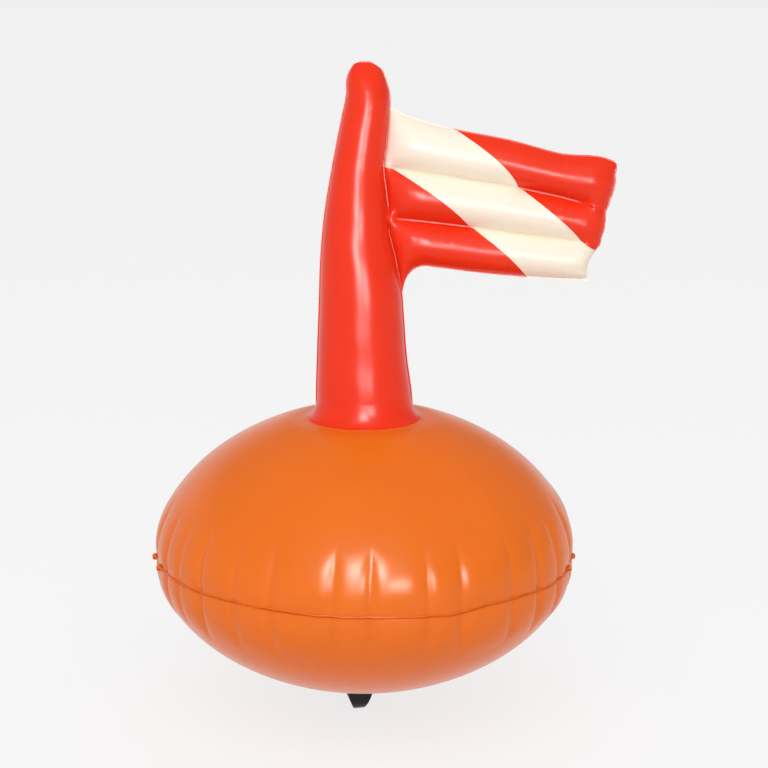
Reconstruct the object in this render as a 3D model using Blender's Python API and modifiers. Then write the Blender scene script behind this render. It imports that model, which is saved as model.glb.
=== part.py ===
"""Dive flag float: a round inflatable buoy with an inflatable mast and diver-down flag.

Metres, +Z up. The origin is the centre of the eye in the lug under the float, where the
diver's line is tied. The float's own axis stands a little way from it towards +X. The flag
flies towards +X and the valve is behind the mast, at +Y.
"""

import bpy
import bmesh
from math import acos, atan2, cos, pi, radians, sin, sqrt, tau
from mathutils import Matrix, Vector

# Round float
FLOAT_RADIUS = 0.180
FLOAT_RISE = 0.1242
FLOAT_DROP = 0.1154
FLOAT_FILM = 0.0005
FLOAT_WELD = 0.0035
OUTLINE_POWER = 1.88

# Pleats that the equator weld pulls into the film
PLEAT_DEPTH = 0.0042
LOBE_CROWN = 0.0016
PLEAT_REACH_UP = 0.062
PLEAT_REACH_DOWN = 0.042
COLUMNS_PER_PLEAT = 3

# Mast, the collar that flares out past its foot and the hole that lies inside it
COLLAR_RIM = 0.0078
MAST_HOLE_INSET = 0.0070
COLLAR_HEIGHT = 0.0060
COLLAR_WALL = 0.0010
COLLAR_EDGE = 0.0003
COLLAR_FLARE = 0.0060
MAST_RADIUS = 0.0430
MAST_HEIGHT = 0.2862
SHEET_FILM = 0.0004
SHEET_WELD = 0.0025
FOOT_WELD = 0.0008
FOOT_WELD_WIDENING_SHARE = 0.1
AIR_GAP_BULGE = 0.0045

# Flag
FLAG_FOOT = 0.0959
FLAG_HOIST = 0.1535
FLAG_REACH = 0.2080
STRIPE_FILM = 0.00015

# Valve
VALVE_OFFSET = 0.092
VALVE_FLANGE_RADIUS = 0.0150
VALVE_FLANGE_THICKNESS = 0.0012
VALVE_STEM_RADIUS = 0.0075
VALVE_STEM_HEIGHT = 0.0120
VALVE_BORE_RADIUS = 0.0052
VALVE_TUBE_DEPTH = 0.0090
VALVE_EDGE = 0.0005
PLUG_HEAD_RADIUS = 0.0078
PLUG_HEAD_THICKNESS = 0.0022
PLUG_NECK_RADIUS = 0.0043
PLUG_TIP_RADIUS = 0.0034
PLUG_DEPTH = 0.0060
STRAP_REACH = 0.0030
STRAP_ROOT = 0.0015
STRAP_STEP = 0.0001
STRAP_THICKNESS = 0.0012
STRAP_WIDTH = 0.0050
EAR_DEPTH = 0.0035
FLAP_OVERLAP = 0.0014
FLAP_THICKNESS = 0.0010
FLAP_STRAP_THICKNESS = 0.0007

# Lug for the diver's line
LUG_FLANGE_RADIUS = 0.0270
LUG_FLANGE_THICKNESS = 0.0020
LUG_EYE_DEPTH = 0.0181
LUG_EYE_RADIUS = 0.0072
LUG_EYE_STRAIGHT = 0.0028
LUG_BAR = 0.0073
LUG_LEG = 0.0053
LUG_ROOT_SPREAD = 0.0045
LUG_ROOT_THICKNESS = 0.0300
LUG_TIP_THICKNESS = 0.0070
LUG_CORNER = 0.0015
LUG_YAW = radians(12)

# How far the lug stands off the float's axis, and how much of the film is drawn over with it
LUG_OFFSET = 0.0065
DRAWN_RADIUS = 0.060

# Ballast inside the bottom of the float
BALLAST_RADIUS = 0.0260
BALLAST_THICKNESS = 0.0120
BALLAST_EDGE = 0.0010
POCKET_FILM = 0.0004
POCKET_WELD = 0.0120

# Clearance between touching pieces, and how far a cutter runs past its work
GAP = 0.0003
OVERRUN = 0.0050
MERGE = 0.00001

# Faces round a turn of the small turned pieces and of the collar, and along the small arcs
SMALL_STEPS = 32
COLLAR_STEPS = 48
FLARE_STEPS = 4
STRAP_END_STEPS = 6
EYE_STEPS = 10
LUG_END_STEPS = 12

# Rings of the float's film, as shares of the angle from the weld to the last full ring
RING_SHARES = (0.05, 0.13, 0.23, 0.35, 0.47, 0.59, 0.71, 0.83)

# Pleats round the weld: share of a turn from the front towards +X, and share of the full depth
PLEAT_SHARES = (
    (0.005, 1.0), (0.046, 0.7), (0.071, 1.0), (0.116, 0.8), (0.146, 1.0), (0.176, 0.6), (0.211, 0.8),
    (0.247, 0.9), (0.288, 0.6), (0.329, 0.9), (0.370, 0.7), (0.410, 1.0), (0.452, 0.6), (0.493, 0.9),
    (0.534, 0.7), (0.576, 1.0), (0.617, 0.6), (0.658, 0.9), (0.700, 0.7), (0.742, 1.0), (0.783, 0.8),
    (0.817, 0.7), (0.842, 0.5), (0.869, 1.0), (0.903, 0.7), (0.933, 1.0), (0.979, 0.8),
)

# Mast outline: share of its height, then left and right edges as shares of the foot's radius
MAST_SHARES = (
    (0.000, -1.000, 1.000), (0.038, -0.972, 0.940), (0.146, -0.930, 0.840), (0.269, -0.895, 0.779),
    (0.335, -0.877, 0.744), (0.433, -0.851, 0.635), (0.524, -0.800, 0.495), (0.585, -0.749, 0.484),
    (0.705, -0.609, 0.402), (0.765, -0.533, 0.447), (0.849, -0.416, 0.502), (0.905, -0.340, 0.512),
    (0.955, -0.321, 0.419), (0.979, -0.250, 0.338), (0.993, -0.168, 0.200), (1.000, -0.060, 0.110),
)
MAST_FULLNESS_SHARE = 0.97
FOOT_ROW_SHARES = (0.0, 0.07, 0.17, 0.32, 0.50, 0.70, 0.87)
TIP_ROW_SHARES = (0.26, 0.50, 0.69, 0.83, 0.93)
TIP_ROUND_SHARE = 1.1
MAST_COLUMNS = 10

# The four long lines of the flag, lowest first, as shares of its reach and of its hoist
FLAG_LINE_SHARES = (
    ((0.156, 0.000), (0.164, 0.054), (0.188, 0.111), (0.228, 0.144), (0.297, 0.139),
     (0.437, 0.115), (0.658, 0.087), (0.902, 0.070)),
    ((0.101, 0.410), (0.263, 0.387), (0.419, 0.362), (0.623, 0.327), (0.871, 0.280), (0.944, 0.264)),
    ((0.084, 0.681), (0.183, 0.664), (0.341, 0.635), (0.607, 0.573), (0.866, 0.492), (0.965, 0.446)),
    ((0.106, 1.000), (0.159, 0.965), (0.241, 0.926), (0.348, 0.889), (0.584, 0.826),
     (0.775, 0.758), (0.980, 0.720), (1.000, 0.700)),
)
FLAG_COLUMN_SHARES = (0.0, 0.02, 0.06, 0.12, 0.21, 0.32, 0.44, 0.56, 0.68, 0.79, 0.88, 0.94)
FLAG_ROW_SHARES = (0.27, 0.50, 0.74)
FLAG_FULLNESS_SHARE = 0.34
FLY_BULGE_SHARES = (-0.024, 0.004, 0.012)
WELD_LINE_START_SHARE = 0.05
WELD_LINE_END_SHARE = 0.87
LINE_END_RISE_SHARE = 0.7

# Stripe edges in each channel, lowest first: share along the flag at the channel's bottom and
# top line, and how far the edge bows towards the fly between them
STRIPE_UPPER_SHARES = ((1.45, 0.913, 0.0), (0.913, 0.604, 0.028), (0.604, 0.270, 0.052))
STRIPE_LOWER_SHARES = ((0.672, 0.385, 0.028), (0.385, 0.028, 0.038))
STRIPE_STEPS = 5
STRIPE_START_SHARE = 0.012
STRIPE_HOIST_SHARES = (0.1, 0.4, 0.7)

# Colours as linear red, green and blue
FLOAT_ORANGE = (0.79, 0.16, 0.02)
FLAG_RED = (0.84, 0.05, 0.02)
FLAG_WHITE = (0.94, 0.88, 0.78)
VALVE_CLEAR = (0.80, 0.24, 0.07)
LUG_BLACK = (0.018, 0.015, 0.014)
IRON_GREY = (0.10, 0.10, 0.11)

WELD_HEIGHT = LUG_EYE_DEPTH + FLOAT_DROP
COLLAR_RADIUS = MAST_RADIUS + COLLAR_RIM
MAST_HOLE_RADIUS = MAST_RADIUS - MAST_HOLE_INSET


def clear_scene():
    for old in list(bpy.data.objects):
        bpy.data.objects.remove(old)


def new_collection(name):
    group = bpy.data.collections.new(name)
    bpy.context.scene.collection.children.link(group)
    return group


def make_material(name, colour, roughness, metallic=0.0):
    material = bpy.data.materials.new(name)
    material.use_nodes = True
    shader = material.node_tree.nodes["Principled BSDF"]
    shader.inputs["Base Color"].default_value = (*colour, 1.0)
    shader.inputs["Roughness"].default_value = roughness
    shader.inputs["Metallic"].default_value = metallic
    return material


def add_object(name, data, group, parent=None, place=(0.0, 0.0, 0.0)):
    piece = bpy.data.objects.new(name, data)
    group.objects.link(piece)
    piece.parent = parent
    piece.location = place
    return piece


def finish(piece, material, sharp=40):
    """Give a piece its own material and shade it smooth but for its sharp edges."""
    piece.data.materials.append(material)
    piece.data.shade_smooth()
    piece.data.set_sharp_from_angle(angle=radians(sharp))
    return piece


def add_screw(piece, steps):
    screw = piece.modifiers.new("turn", "SCREW")
    screw.axis = "Z"
    screw.angle = tau
    screw.steps = steps
    screw.render_steps = steps
    screw.use_merge_vertices = True
    screw.merge_threshold = MERGE
    return screw


def add_solidify(piece, thickness, offset):
    wall = piece.modifiers.new("wall", "SOLIDIFY")
    wall.thickness = thickness
    wall.offset = offset
    wall.use_even_offset = True
    return wall


def add_boolean(piece, cutter, operation):
    cut = piece.modifiers.new(cutter.name, "BOOLEAN")
    cut.operation = operation
    cut.object = cutter
    return cut


def evaluated_mesh(piece):
    """The piece's mesh with its modifiers applied, in the piece's own coordinates."""
    graph = bpy.context.evaluated_depsgraph_get()
    mesh = bpy.data.meshes.new_from_object(piece.evaluated_get(graph))
    shape = bmesh.new()
    shape.from_mesh(mesh)
    bmesh.ops.remove_doubles(shape, verts=shape.verts, dist=MERGE)
    shape.to_mesh(mesh)
    shape.free()
    return mesh


def turned_mesh(profile, steps, closed=False):
    """Turn a profile of (radius, height) points about Z. It runs down its outer side."""
    count = len(profile)
    edges = [(point, point + 1) for point in range(count - 1)]
    if closed:
        edges.append((count - 1, 0))
    outline = bpy.data.meshes.new("profile")
    outline.from_pydata([(radius, 0.0, height) for radius, height in profile], edges, [])
    blank = bpy.data.objects.new("blank", outline)
    bpy.context.scene.collection.objects.link(blank)
    add_screw(blank, steps)
    mesh = evaluated_mesh(blank)
    bpy.data.objects.remove(blank)
    return mesh


def flat_mesh(points, thickness, turn):
    """A flat outline of (across, up) points, extruded to its thickness and turned upright."""
    outline = bpy.data.curves.new("outline", "CURVE")
    outline.dimensions = "2D"
    outline.fill_mode = "BOTH"
    outline.extrude = thickness / 2
    spline = outline.splines.new("POLY")
    spline.points.add(len(points) - 1)
    for point, (across, up) in zip(spline.points, points):
        point.co = (across, up, 0.0, 1.0)
    spline.use_cyclic_u = True
    blank = bpy.data.objects.new("blank", outline)
    bpy.context.scene.collection.objects.link(blank)
    mesh = evaluated_mesh(blank)
    bpy.data.objects.remove(blank)
    mesh.transform(turn)
    return mesh


def arc(centre, radius, start, end, count):
    """Points along an arc, angles in degrees from the first axis towards the second."""
    angles = [radians(start + (end - start) * step / count) for step in range(count + 1)]
    return [(centre[0] + radius * cos(angle), centre[1] + radius * sin(angle)) for angle in angles]


def smooth_value(table, where, column=1):
    """Read a smooth curve through a table's rows at a value of its first column."""
    last = len(table) - 1
    at = min(max(where, table[0][0]), table[last][0])
    row = next(step for step in range(last) if at <= table[step + 1][0])

    def secant(start):
        return (table[start + 1][column] - table[start][column]) / (table[start + 1][0] - table[start][0])

    def slope(knot):
        if knot in (0, last):
            return secant(min(knot, last - 1))
        return (secant(knot - 1) + secant(knot)) / 2

    span = table[row + 1][0] - table[row][0]
    part = (at - table[row][0]) / span
    rise = table[row + 1][column] - table[row][column]
    ease = part * part * (3 - 2 * part)
    early = part * (1 - part) ** 2 * span
    late = part * part * (part - 1) * span
    return table[row][column] + ease * rise + early * slope(row) + late * slope(row + 1)


def float_point(angle, rise):
    """Radius and height of the float's outline at an angle above or below the weld."""
    power = 2 / OUTLINE_POWER
    return FLOAT_RADIUS * cos(angle) ** power, rise * sin(angle) ** power


def float_height(radius, rise):
    return rise * (1 - (radius / FLOAT_RADIUS) ** OUTLINE_POWER) ** (1 / OUTLINE_POWER)


def float_angle(radius):
    return acos((radius / FLOAT_RADIUS) ** (OUTLINE_POWER / 2))


def upper_profile():
    """The upper shell's outer side, from the mast hole down to the weld's edge."""
    seat_radius = COLLAR_RADIUS + FLOAT_WELD
    rings = [float_point(share * float_angle(seat_radius), FLOAT_RISE) for share in RING_SHARES]
    face = GAP / 2 + FLOAT_FILM
    profile = [(MAST_HOLE_RADIUS, float_height(MAST_HOLE_RADIUS, FLOAT_RISE))]
    profile.append((seat_radius, float_height(seat_radius, FLOAT_RISE)))
    profile.extend(reversed(rings))
    profile.append((FLOAT_RADIUS, face))
    profile.append((FLOAT_RADIUS + FLOAT_WELD, face))
    return profile


def lower_profile():
    """The lower shell's outer side, from the weld's edge down to the pole."""
    rings = [float_point(share * pi / 2, FLOAT_DROP) for share in RING_SHARES]
    face = -(GAP / 2 + FLOAT_FILM)
    profile = [(FLOAT_RADIUS + FLOAT_WELD, face), (FLOAT_RADIUS, face)]
    profile.extend((radius, -depth) for radius, depth in rings)
    profile.append((LUG_FLANGE_RADIUS, -float_height(LUG_FLANGE_RADIUS, FLOAT_DROP)))
    profile.append((0.0, -FLOAT_DROP))
    return profile


def line_height(profile, radius):
    """Height of a profile's straight runs at a radius, on the rings that the film has."""
    for (radius_a, height_a), (radius_b, height_b) in zip(profile, profile[1:]):
        if min(radius_a, radius_b) <= radius <= max(radius_a, radius_b) and radius_a != radius_b:
            return height_a + (height_b - height_a) * (radius - radius_a) / (radius_b - radius_a)
    return profile[-1][1]


def pleat_column(share):
    """Where a column of the film lies: its share of a turn and how far it is pushed out."""
    count = len(PLEAT_SHARES) * COLUMNS_PER_PLEAT
    column = round(share * count - 0.5) % count
    pleat, step = divmod(column, COLUMNS_PER_PLEAT)
    here, depth = PLEAT_SHARES[pleat]
    following = PLEAT_SHARES[(pleat + 1) % len(PLEAT_SHARES)][0]
    width = (following - here) % 1.0
    part = step / COLUMNS_PER_PLEAT
    push = LOBE_CROWN * sin(pi * part) if step else -PLEAT_DEPTH * depth
    return here + width * part, push


def pleat_film(mesh, reach):
    """Draw the film into pleats at the weld, fading out over the reach above or below it."""
    for vertex in mesh.vertices:
        radius = sqrt(vertex.co.x ** 2 + vertex.co.y ** 2)
        if radius < MERGE:
            continue
        share = (atan2(vertex.co.y, vertex.co.x) / tau + 0.25) % 1.0
        turn, push = pleat_column(share)
        fade = max(0.0, 1 - abs(vertex.co.z) / reach) ** 2
        pushed = radius + push * fade
        vertex.co.x = pushed * sin(tau * turn)
        vertex.co.y = -pushed * cos(tau * turn)


def draw_to_lug(mesh):
    """Draw the bottom of the film over to the lug that is welded under it."""
    for vertex in mesh.vertices:
        if vertex.co.z < 0 and sqrt(vertex.co.x ** 2 + vertex.co.y ** 2) < DRAWN_RADIUS:
            vertex.co.x -= LUG_OFFSET


def build_shell(name, profile, reach, group, material):
    mesh = turned_mesh(profile, len(PLEAT_SHARES) * COLUMNS_PER_PLEAT)
    pleat_film(mesh, reach)
    draw_to_lug(mesh)
    shell = add_object(name, mesh, group, place=(LUG_OFFSET, 0.0, WELD_HEIGHT))
    add_solidify(shell, FLOAT_FILM, -1.0)
    return finish(shell, material)


def collar_seat(radius):
    return line_height(upper_profile(), radius) + GAP


def collar_top():
    return collar_seat(MAST_RADIUS) + COLLAR_HEIGHT


def build_collar(group, material):
    """Ring that is welded flat on the float and flares up into the mast's foot."""
    inner = MAST_RADIUS - COLLAR_WALL
    edge = COLLAR_RADIUS - COLLAR_WALL
    flange = collar_seat(edge) + COLLAR_WALL
    centre = (MAST_RADIUS + COLLAR_FLARE, flange + COLLAR_FLARE)
    foot = MAST_HOLE_RADIUS + COLLAR_WALL
    profile = [(MAST_RADIUS, collar_top())] + arc(centre, COLLAR_FLARE, 180, 262, FLARE_STEPS)
    profile += [(edge, flange), (COLLAR_RADIUS, collar_seat(COLLAR_RADIUS) + COLLAR_EDGE)]
    profile += [(COLLAR_RADIUS, collar_seat(COLLAR_RADIUS)), (foot, collar_seat(foot))]
    profile += [(foot, collar_seat(foot) + COLLAR_WALL), (inner, collar_seat(inner) + 2 * COLLAR_WALL)]
    profile += [(inner, collar_top())]
    mesh = turned_mesh(profile, COLLAR_STEPS, closed=True)
    collar = add_object("mast_collar", mesh, group, place=(LUG_OFFSET, 0.0, WELD_HEIGHT))
    return finish(collar, material)


def mast_edges(height):
    """Left and right edge of the sheets' outline at a height above the mast's foot."""
    share = height / MAST_HEIGHT
    left = MAST_RADIUS * smooth_value(MAST_SHARES, share, 1)
    right = MAST_RADIUS * smooth_value(MAST_SHARES, share, 2)
    return left, right


def flag_line(line, share):
    """Point of one of the flag's long lines, at a share of the way from mast to fly."""
    table = FLAG_LINE_SHARES[line]
    hoist = FLAG_FOOT + FLAG_HOIST * table[0][1]
    start = mast_edges(hoist)[1]
    end = FLAG_REACH * table[-1][0]
    across = start + (end - start) * share
    followed = table[0][0] + (table[-1][0] - table[0][0]) * share
    return across, FLAG_FOOT + FLAG_HOIST * smooth_value(table, followed)


def flag_point(share, channel, part):
    """Point in a channel, at a share along the flag and a part of the way up the channel."""
    low_across, low = flag_line(channel, share)
    high_across, high = flag_line(channel + 1, share)
    up = low + (high - low) * part
    across = low_across + (high_across - low_across) * part
    hoist_low = flag_line(channel, 0.0)
    hoist_high = flag_line(channel + 1, 0.0)
    hoist_up = hoist_low[1] + (hoist_high[1] - hoist_low[1]) * part
    straight = hoist_low[0] + (hoist_high[0] - hoist_low[0]) * part
    across += (mast_edges(hoist_up)[1] - straight) * (1 - share)
    across += FLAG_REACH * FLY_BULGE_SHARES[channel] * sin(pi * part) * min(share, 1.0) ** 4
    return across, up


def flag_rows():
    """Rows of the flag's film, lowest first: channel, and share of its inflated height.

    A row below 0 or above 1 is the outer edge of the weld round the flag.
    """
    rows = [(0, -1.0), (0, 0.0)]
    for channel in range(3):
        rows.extend((channel, share) for share in FLAG_ROW_SHARES)
        rows.append((channel + 1, 0.0) if channel < 2 else (2, 1.0))
    rows.append((2, 2.0))
    return rows


def row_part(share, channel, blown):
    """How far up its channel a row lies, between the welds that bound the channel."""
    height = flag_line(channel + 1, share)[1] - flag_line(channel, share)[1]
    low = SHEET_WELD / height if channel == 0 else 0.0
    high = SHEET_WELD / height if channel == 2 else 0.0
    if blown < 0:
        return 0.0
    if blown > 1:
        return 1.0
    return low + blown * (1 - low - high)


def rounded(distance, radius):
    """Share of a round edge's full height at a distance in from where it starts."""
    inside = min(max(distance / radius, 0.0), 1.0)
    return sqrt(1 - (1 - inside) ** 2)


def weld_line_opening(share):
    """How far the film is free of a weld line: 0 along it, up to 1 past its two ends."""
    before = max(0.0, 1 - share / WELD_LINE_START_SHARE)
    after = max(0.0, (share - WELD_LINE_END_SHARE) / (1 - WELD_LINE_END_SHARE))
    return max(before, min(1.0, 2 * after))


def flag_swell(share, channel, blown):
    """Height of the film above the weld plane in a channel."""
    length = FLAG_REACH - mast_edges(FLAG_FOOT)[1]
    height = flag_line(channel + 1, share)[1] - flag_line(channel, share)[1]
    full = FLAG_FULLNESS_SHARE * height
    hoist_end = rounded(share * length, height / 2)
    fly_end = rounded((1 - share) * length - SHEET_WELD, height / 2)
    if blown in (-1.0, 2.0) or (channel, blown) in ((0, 0.0), (2, 1.0)):
        return 0.0
    if blown == 0.0:
        bridge = AIR_GAP_BULGE * (channel == 1) * (1 - fly_end * hoist_end) * (share < 0.5)
        opened = LINE_END_RISE_SHARE * weld_line_opening(share)
        return max(bridge, full * hoist_end * fly_end * opened)
    return full * hoist_end * fly_end * sqrt(1 - (2 * blown - 1) ** 2)


def flag_columns():
    """Columns of the flag's film from mast to fly, the last two being the fly's weld."""
    length = FLAG_REACH - mast_edges(FLAG_FOOT)[1]
    return FLAG_COLUMN_SHARES + (1 - SHEET_WELD / length, 1.0)


def flag_corner(column, row, side):
    share = flag_columns()[column]
    channel, blown = flag_rows()[row]
    across, up = flag_point(share, channel, row_part(share, channel, blown))
    return Vector((across, side * (GAP / 2 + flag_swell(share, channel, blown)), up))


def mast_rows():
    """Heights of the mast's rows above its foot; the flag's rows are among them."""
    low = [FLAG_FOOT * share for share in FOOT_ROW_SHARES]
    flag = [flag_point(0.0, channel, row_part(0.0, channel, blown))[1] for channel, blown in flag_rows()]
    weld = MAST_HEIGHT - SHEET_WELD
    high = [flag[-1] + (weld - flag[-1]) * share for share in TIP_ROW_SHARES]
    return low + flag + high + [weld, MAST_HEIGHT]


def mast_corner(column, row, side):
    height = mast_rows()[row]
    left, right = mast_edges(height)
    width = min(SHEET_WELD, FOOT_WELD + FOOT_WELD_WIDENING_SHARE * height, (right - left) / 4)
    if column == 0:
        return Vector((left, side * GAP / 2, height))
    half = (right - left) / 2 - width
    middle = (left + right) / 2
    turn = pi * min(column - 1, MAST_COLUMNS) / MAST_COLUMNS
    tip = rounded(MAST_HEIGHT - SHEET_WELD - height, TIP_ROUND_SHARE * MAST_RADIUS / 2)
    depth = MAST_FULLNESS_SHARE * half * tip * sin(turn)
    across = middle - half * cos(turn)
    first = len(FOOT_ROW_SHARES)
    if column > MAST_COLUMNS:
        depth = 0.0
        if first <= row < first + len(flag_rows()):
            channel, blown = flag_rows()[row - first]
            depth = flag_swell(0.0, channel, blown)
        across = middle + half if column == MAST_COLUMNS + 1 else right
    return Vector((across, side * (GAP / 2 + depth), height))


def lay_grid(shape, columns, rows, corner):
    """Add a grid of faces and move each of its corners to where corner(column, row) says."""
    made = bmesh.ops.create_grid(shape, x_segments=columns, y_segments=rows, size=0.5)
    for vertex in made["verts"]:
        column = round((vertex.co.x + 0.5) * columns)
        row = round((vertex.co.y + 0.5) * rows)
        vertex.co = corner(column, row)


def film_mesh(side, lift=0.0):
    """The inner face of a sheet, or a face that lies evenly above it by the lift."""
    shape = bmesh.new()
    columns = len(flag_columns()) - 1
    rows = len(flag_rows()) - 1
    lay_grid(shape, columns, rows, lambda column, row: flag_corner(column, row, side))
    rows = len(mast_rows()) - 1
    lay_grid(shape, MAST_COLUMNS + 2, rows, lambda column, row: mast_corner(column, row, side))
    bmesh.ops.remove_doubles(shape, verts=shape.verts, dist=MERGE)
    bmesh.ops.triangulate(shape, faces=shape.faces)
    if side > 0:
        bmesh.ops.reverse_faces(shape, faces=shape.faces)
    shape.normal_update()
    moves = [vertex.normal * (lift * vertex.calc_shell_factor()) for vertex in shape.verts]
    for vertex, move in zip(shape.verts, moves):
        vertex.co += move
    mesh = bpy.data.meshes.new("film")
    shape.to_mesh(mesh)
    shape.free()
    return mesh


def build_sheet(name, side, group, foot, material):
    sheet = add_object(name, film_mesh(side), group, parent=foot)
    add_solidify(sheet, SHEET_FILM, 1.0)
    return finish(sheet, material)


def stripe_edge(edges):
    """Points of one edge of the stripe, down through the channels that it crosses."""
    points = []
    for channel, (low_share, high_share, bow) in reversed(list(enumerate(edges))):
        for step in range(STRIPE_STEPS):
            part = 1 - step / STRIPE_STEPS
            share = low_share + (high_share - low_share) * part + 4 * bow * part * (1 - part)
            points.append(flag_point(share, channel, part))
    return points


def stripe_outline():
    """Corners of the printed stripe, run past the flag where the stripe reaches its edge."""
    upper = stripe_edge(STRIPE_UPPER_SHARES)
    lower = stripe_edge(STRIPE_LOWER_SHARES)
    hoist = flag_point(STRIPE_START_SHARE, 2, 1.0)
    corner = flag_point(STRIPE_UPPER_SHARES[0][0], 0, 0.0)
    end = flag_point(STRIPE_LOWER_SHARES[0][0], 0, 0.0)
    outline = [(hoist[0], hoist[1] + OVERRUN), (upper[0][0], upper[0][1] + OVERRUN)]
    outline += upper + [corner, (corner[0], corner[1] - OVERRUN), (end[0], end[1] - OVERRUN), end]
    outline += reversed(lower)
    outline += [flag_point(STRIPE_START_SHARE, 2, part) for part in STRIPE_HOIST_SHARES]
    return outline


def add_cutter(name, mesh, cutters, parent=None, place=(0.0, 0.0, 0.0)):
    cutter = add_object(name, mesh, cutters, parent=parent, place=place)
    cutter.hide_render = True
    cutter.display_type = "WIRE"
    return cutter


def build_stripe(name, side, group, cutters, foot, material):
    """Printed film that lies on a flag sheet and keeps the shape of its channels."""
    stripe = add_object(name, film_mesh(side, SHEET_FILM + GAP), group, parent=foot)
    add_solidify(stripe, STRIPE_FILM, 1.0)
    upright = Matrix.Rotation(pi / 2, 4, "X")
    mesh = flat_mesh(stripe_outline(), MAST_RADIUS, upright)
    outline = add_cutter(name + "_outline", mesh, cutters, foot, (0.0, side * MAST_RADIUS / 2, 0.0))
    add_boolean(stripe, outline, "INTERSECT")
    return finish(stripe, material)


def rod_mesh(radius, length):
    """Cylinder about Z, centred, with closed ends."""
    shape = bmesh.new()
    bmesh.ops.create_cone(shape, cap_ends=True, segments=SMALL_STEPS, radius1=radius, radius2=radius,
                          depth=length)
    mesh = bpy.data.meshes.new("rod")
    shape.to_mesh(mesh)
    shape.free()
    return mesh


def box_mesh(low, high):
    """Box between two opposite corners."""
    size = Vector(high) - Vector(low)
    middle = (Vector(high) + Vector(low)) / 2
    place = Matrix.Translation(middle) @ Matrix.Diagonal((*size, 1.0))
    shape = bmesh.new()
    bmesh.ops.create_cube(shape, size=1.0, matrix=place)
    mesh = bpy.data.meshes.new("box")
    shape.to_mesh(mesh)
    shape.free()
    return mesh


def strap_mesh(reach, thickness, width):
    """Flat strap with a round end on the hinge's axis, running back from it along -Y."""
    outline = [(-reach, thickness / 2), (-reach, -thickness / 2)]
    outline += arc((0.0, 0.0), thickness / 2, -90, 90, STRAP_END_STEPS)
    sideways = Matrix.Rotation(pi / 2, 4, "Z") @ Matrix.Rotation(pi / 2, 4, "X")
    return flat_mesh(outline, width, sideways)


def valve_tilt():
    """Angle between the valve's axis and the vertical: the film's slope where it stands."""
    inner = float_height(VALVE_OFFSET - VALVE_STEM_RADIUS, FLOAT_RISE)
    outer = float_height(VALVE_OFFSET + VALVE_STEM_RADIUS, FLOAT_RISE)
    return atan2(inner - outer, 2 * VALVE_STEM_RADIUS)


def add_valve_seat(group):
    """Empty on the film behind the mast, with its Z along the valve's axis."""
    height = WELD_HEIGHT + float_height(VALVE_OFFSET, FLOAT_RISE)
    seat = add_object("valve_seat", None, group, place=(LUG_OFFSET, VALVE_OFFSET, height))
    seat.rotation_euler = (-valve_tilt(), 0.0, 0.0)
    return seat


def plug_hinge():
    """Distance out from the valve's axis and height over its seat of the plug's hinge."""
    out = PLUG_HEAD_RADIUS + STRAP_REACH
    return out, VALVE_STEM_HEIGHT + GAP + STRAP_STEP + STRAP_THICKNESS / 2


def build_valve_body(group, cutters, seat, material):
    """Flange on the film, stem with its bore, tube inside the film and ear for the strap."""
    sag = VALVE_FLANGE_RADIUS ** 2 * sin(valve_tilt()) / (2 * VALVE_OFFSET)
    top, stem, bore = VALVE_STEM_HEIGHT, VALVE_STEM_RADIUS, VALVE_BORE_RADIUS
    edge, rim = VALVE_EDGE, VALVE_FLANGE_RADIUS
    flange = GAP + VALVE_FLANGE_THICKNESS
    profile = [(bore + edge, top), (stem - edge, top), (stem, top - edge), (stem, flange + 2 * edge)]
    profile += [(stem + 2 * edge, flange), (rim - 2 * edge, flange - sag), (rim, flange / 2 - sag)]
    profile += [(rim, GAP - sag), (stem, GAP), (stem, -VALVE_TUBE_DEPTH), (bore, -VALVE_TUBE_DEPTH)]
    profile += [(bore, top - edge)]
    body = add_object("valve_body", turned_mesh(profile, SMALL_STEPS, closed=True), group, parent=seat)
    hinge = plug_hinge()[0]
    high = (STRAP_WIDTH / 2, hinge + STRAP_THICKNESS / 2, top - STRAP_STEP)
    low = (-STRAP_WIDTH / 2, (bore + stem) / 2, high[2] - EAR_DEPTH)
    add_boolean(body, add_cutter("strap_ear", box_mesh(low, high), cutters, seat), "UNION")
    return finish(body, material)


def build_plug(group, cutters, seat, material):
    """Head with a tapered plug under it, and the strap that it swings on."""
    out, up = plug_hinge()
    head = VALVE_STEM_HEIGHT + GAP
    tip, edge = head - PLUG_DEPTH, VALVE_EDGE
    profile = [(0.0, head + PLUG_HEAD_THICKNESS), (PLUG_HEAD_RADIUS - edge, head + PLUG_HEAD_THICKNESS)]
    profile += [(PLUG_HEAD_RADIUS, head + PLUG_HEAD_THICKNESS - edge), (PLUG_HEAD_RADIUS, head)]
    profile += [(PLUG_NECK_RADIUS, head), (PLUG_TIP_RADIUS, tip + edge), (PLUG_TIP_RADIUS - edge, tip)]
    profile += [(0.0, tip)]
    mesh = turned_mesh(profile, SMALL_STEPS)
    mesh.transform(Matrix.Translation((0.0, -out, -up)))
    plug = add_object("valve_plug", mesh, group, parent=seat, place=(0.0, out, up))
    strap = strap_mesh(STRAP_REACH + STRAP_ROOT, STRAP_THICKNESS, STRAP_WIDTH)
    add_boolean(plug, add_cutter("plug_strap", strap, cutters, seat, (0.0, out, up)), "UNION")
    return finish(plug, material)


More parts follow.
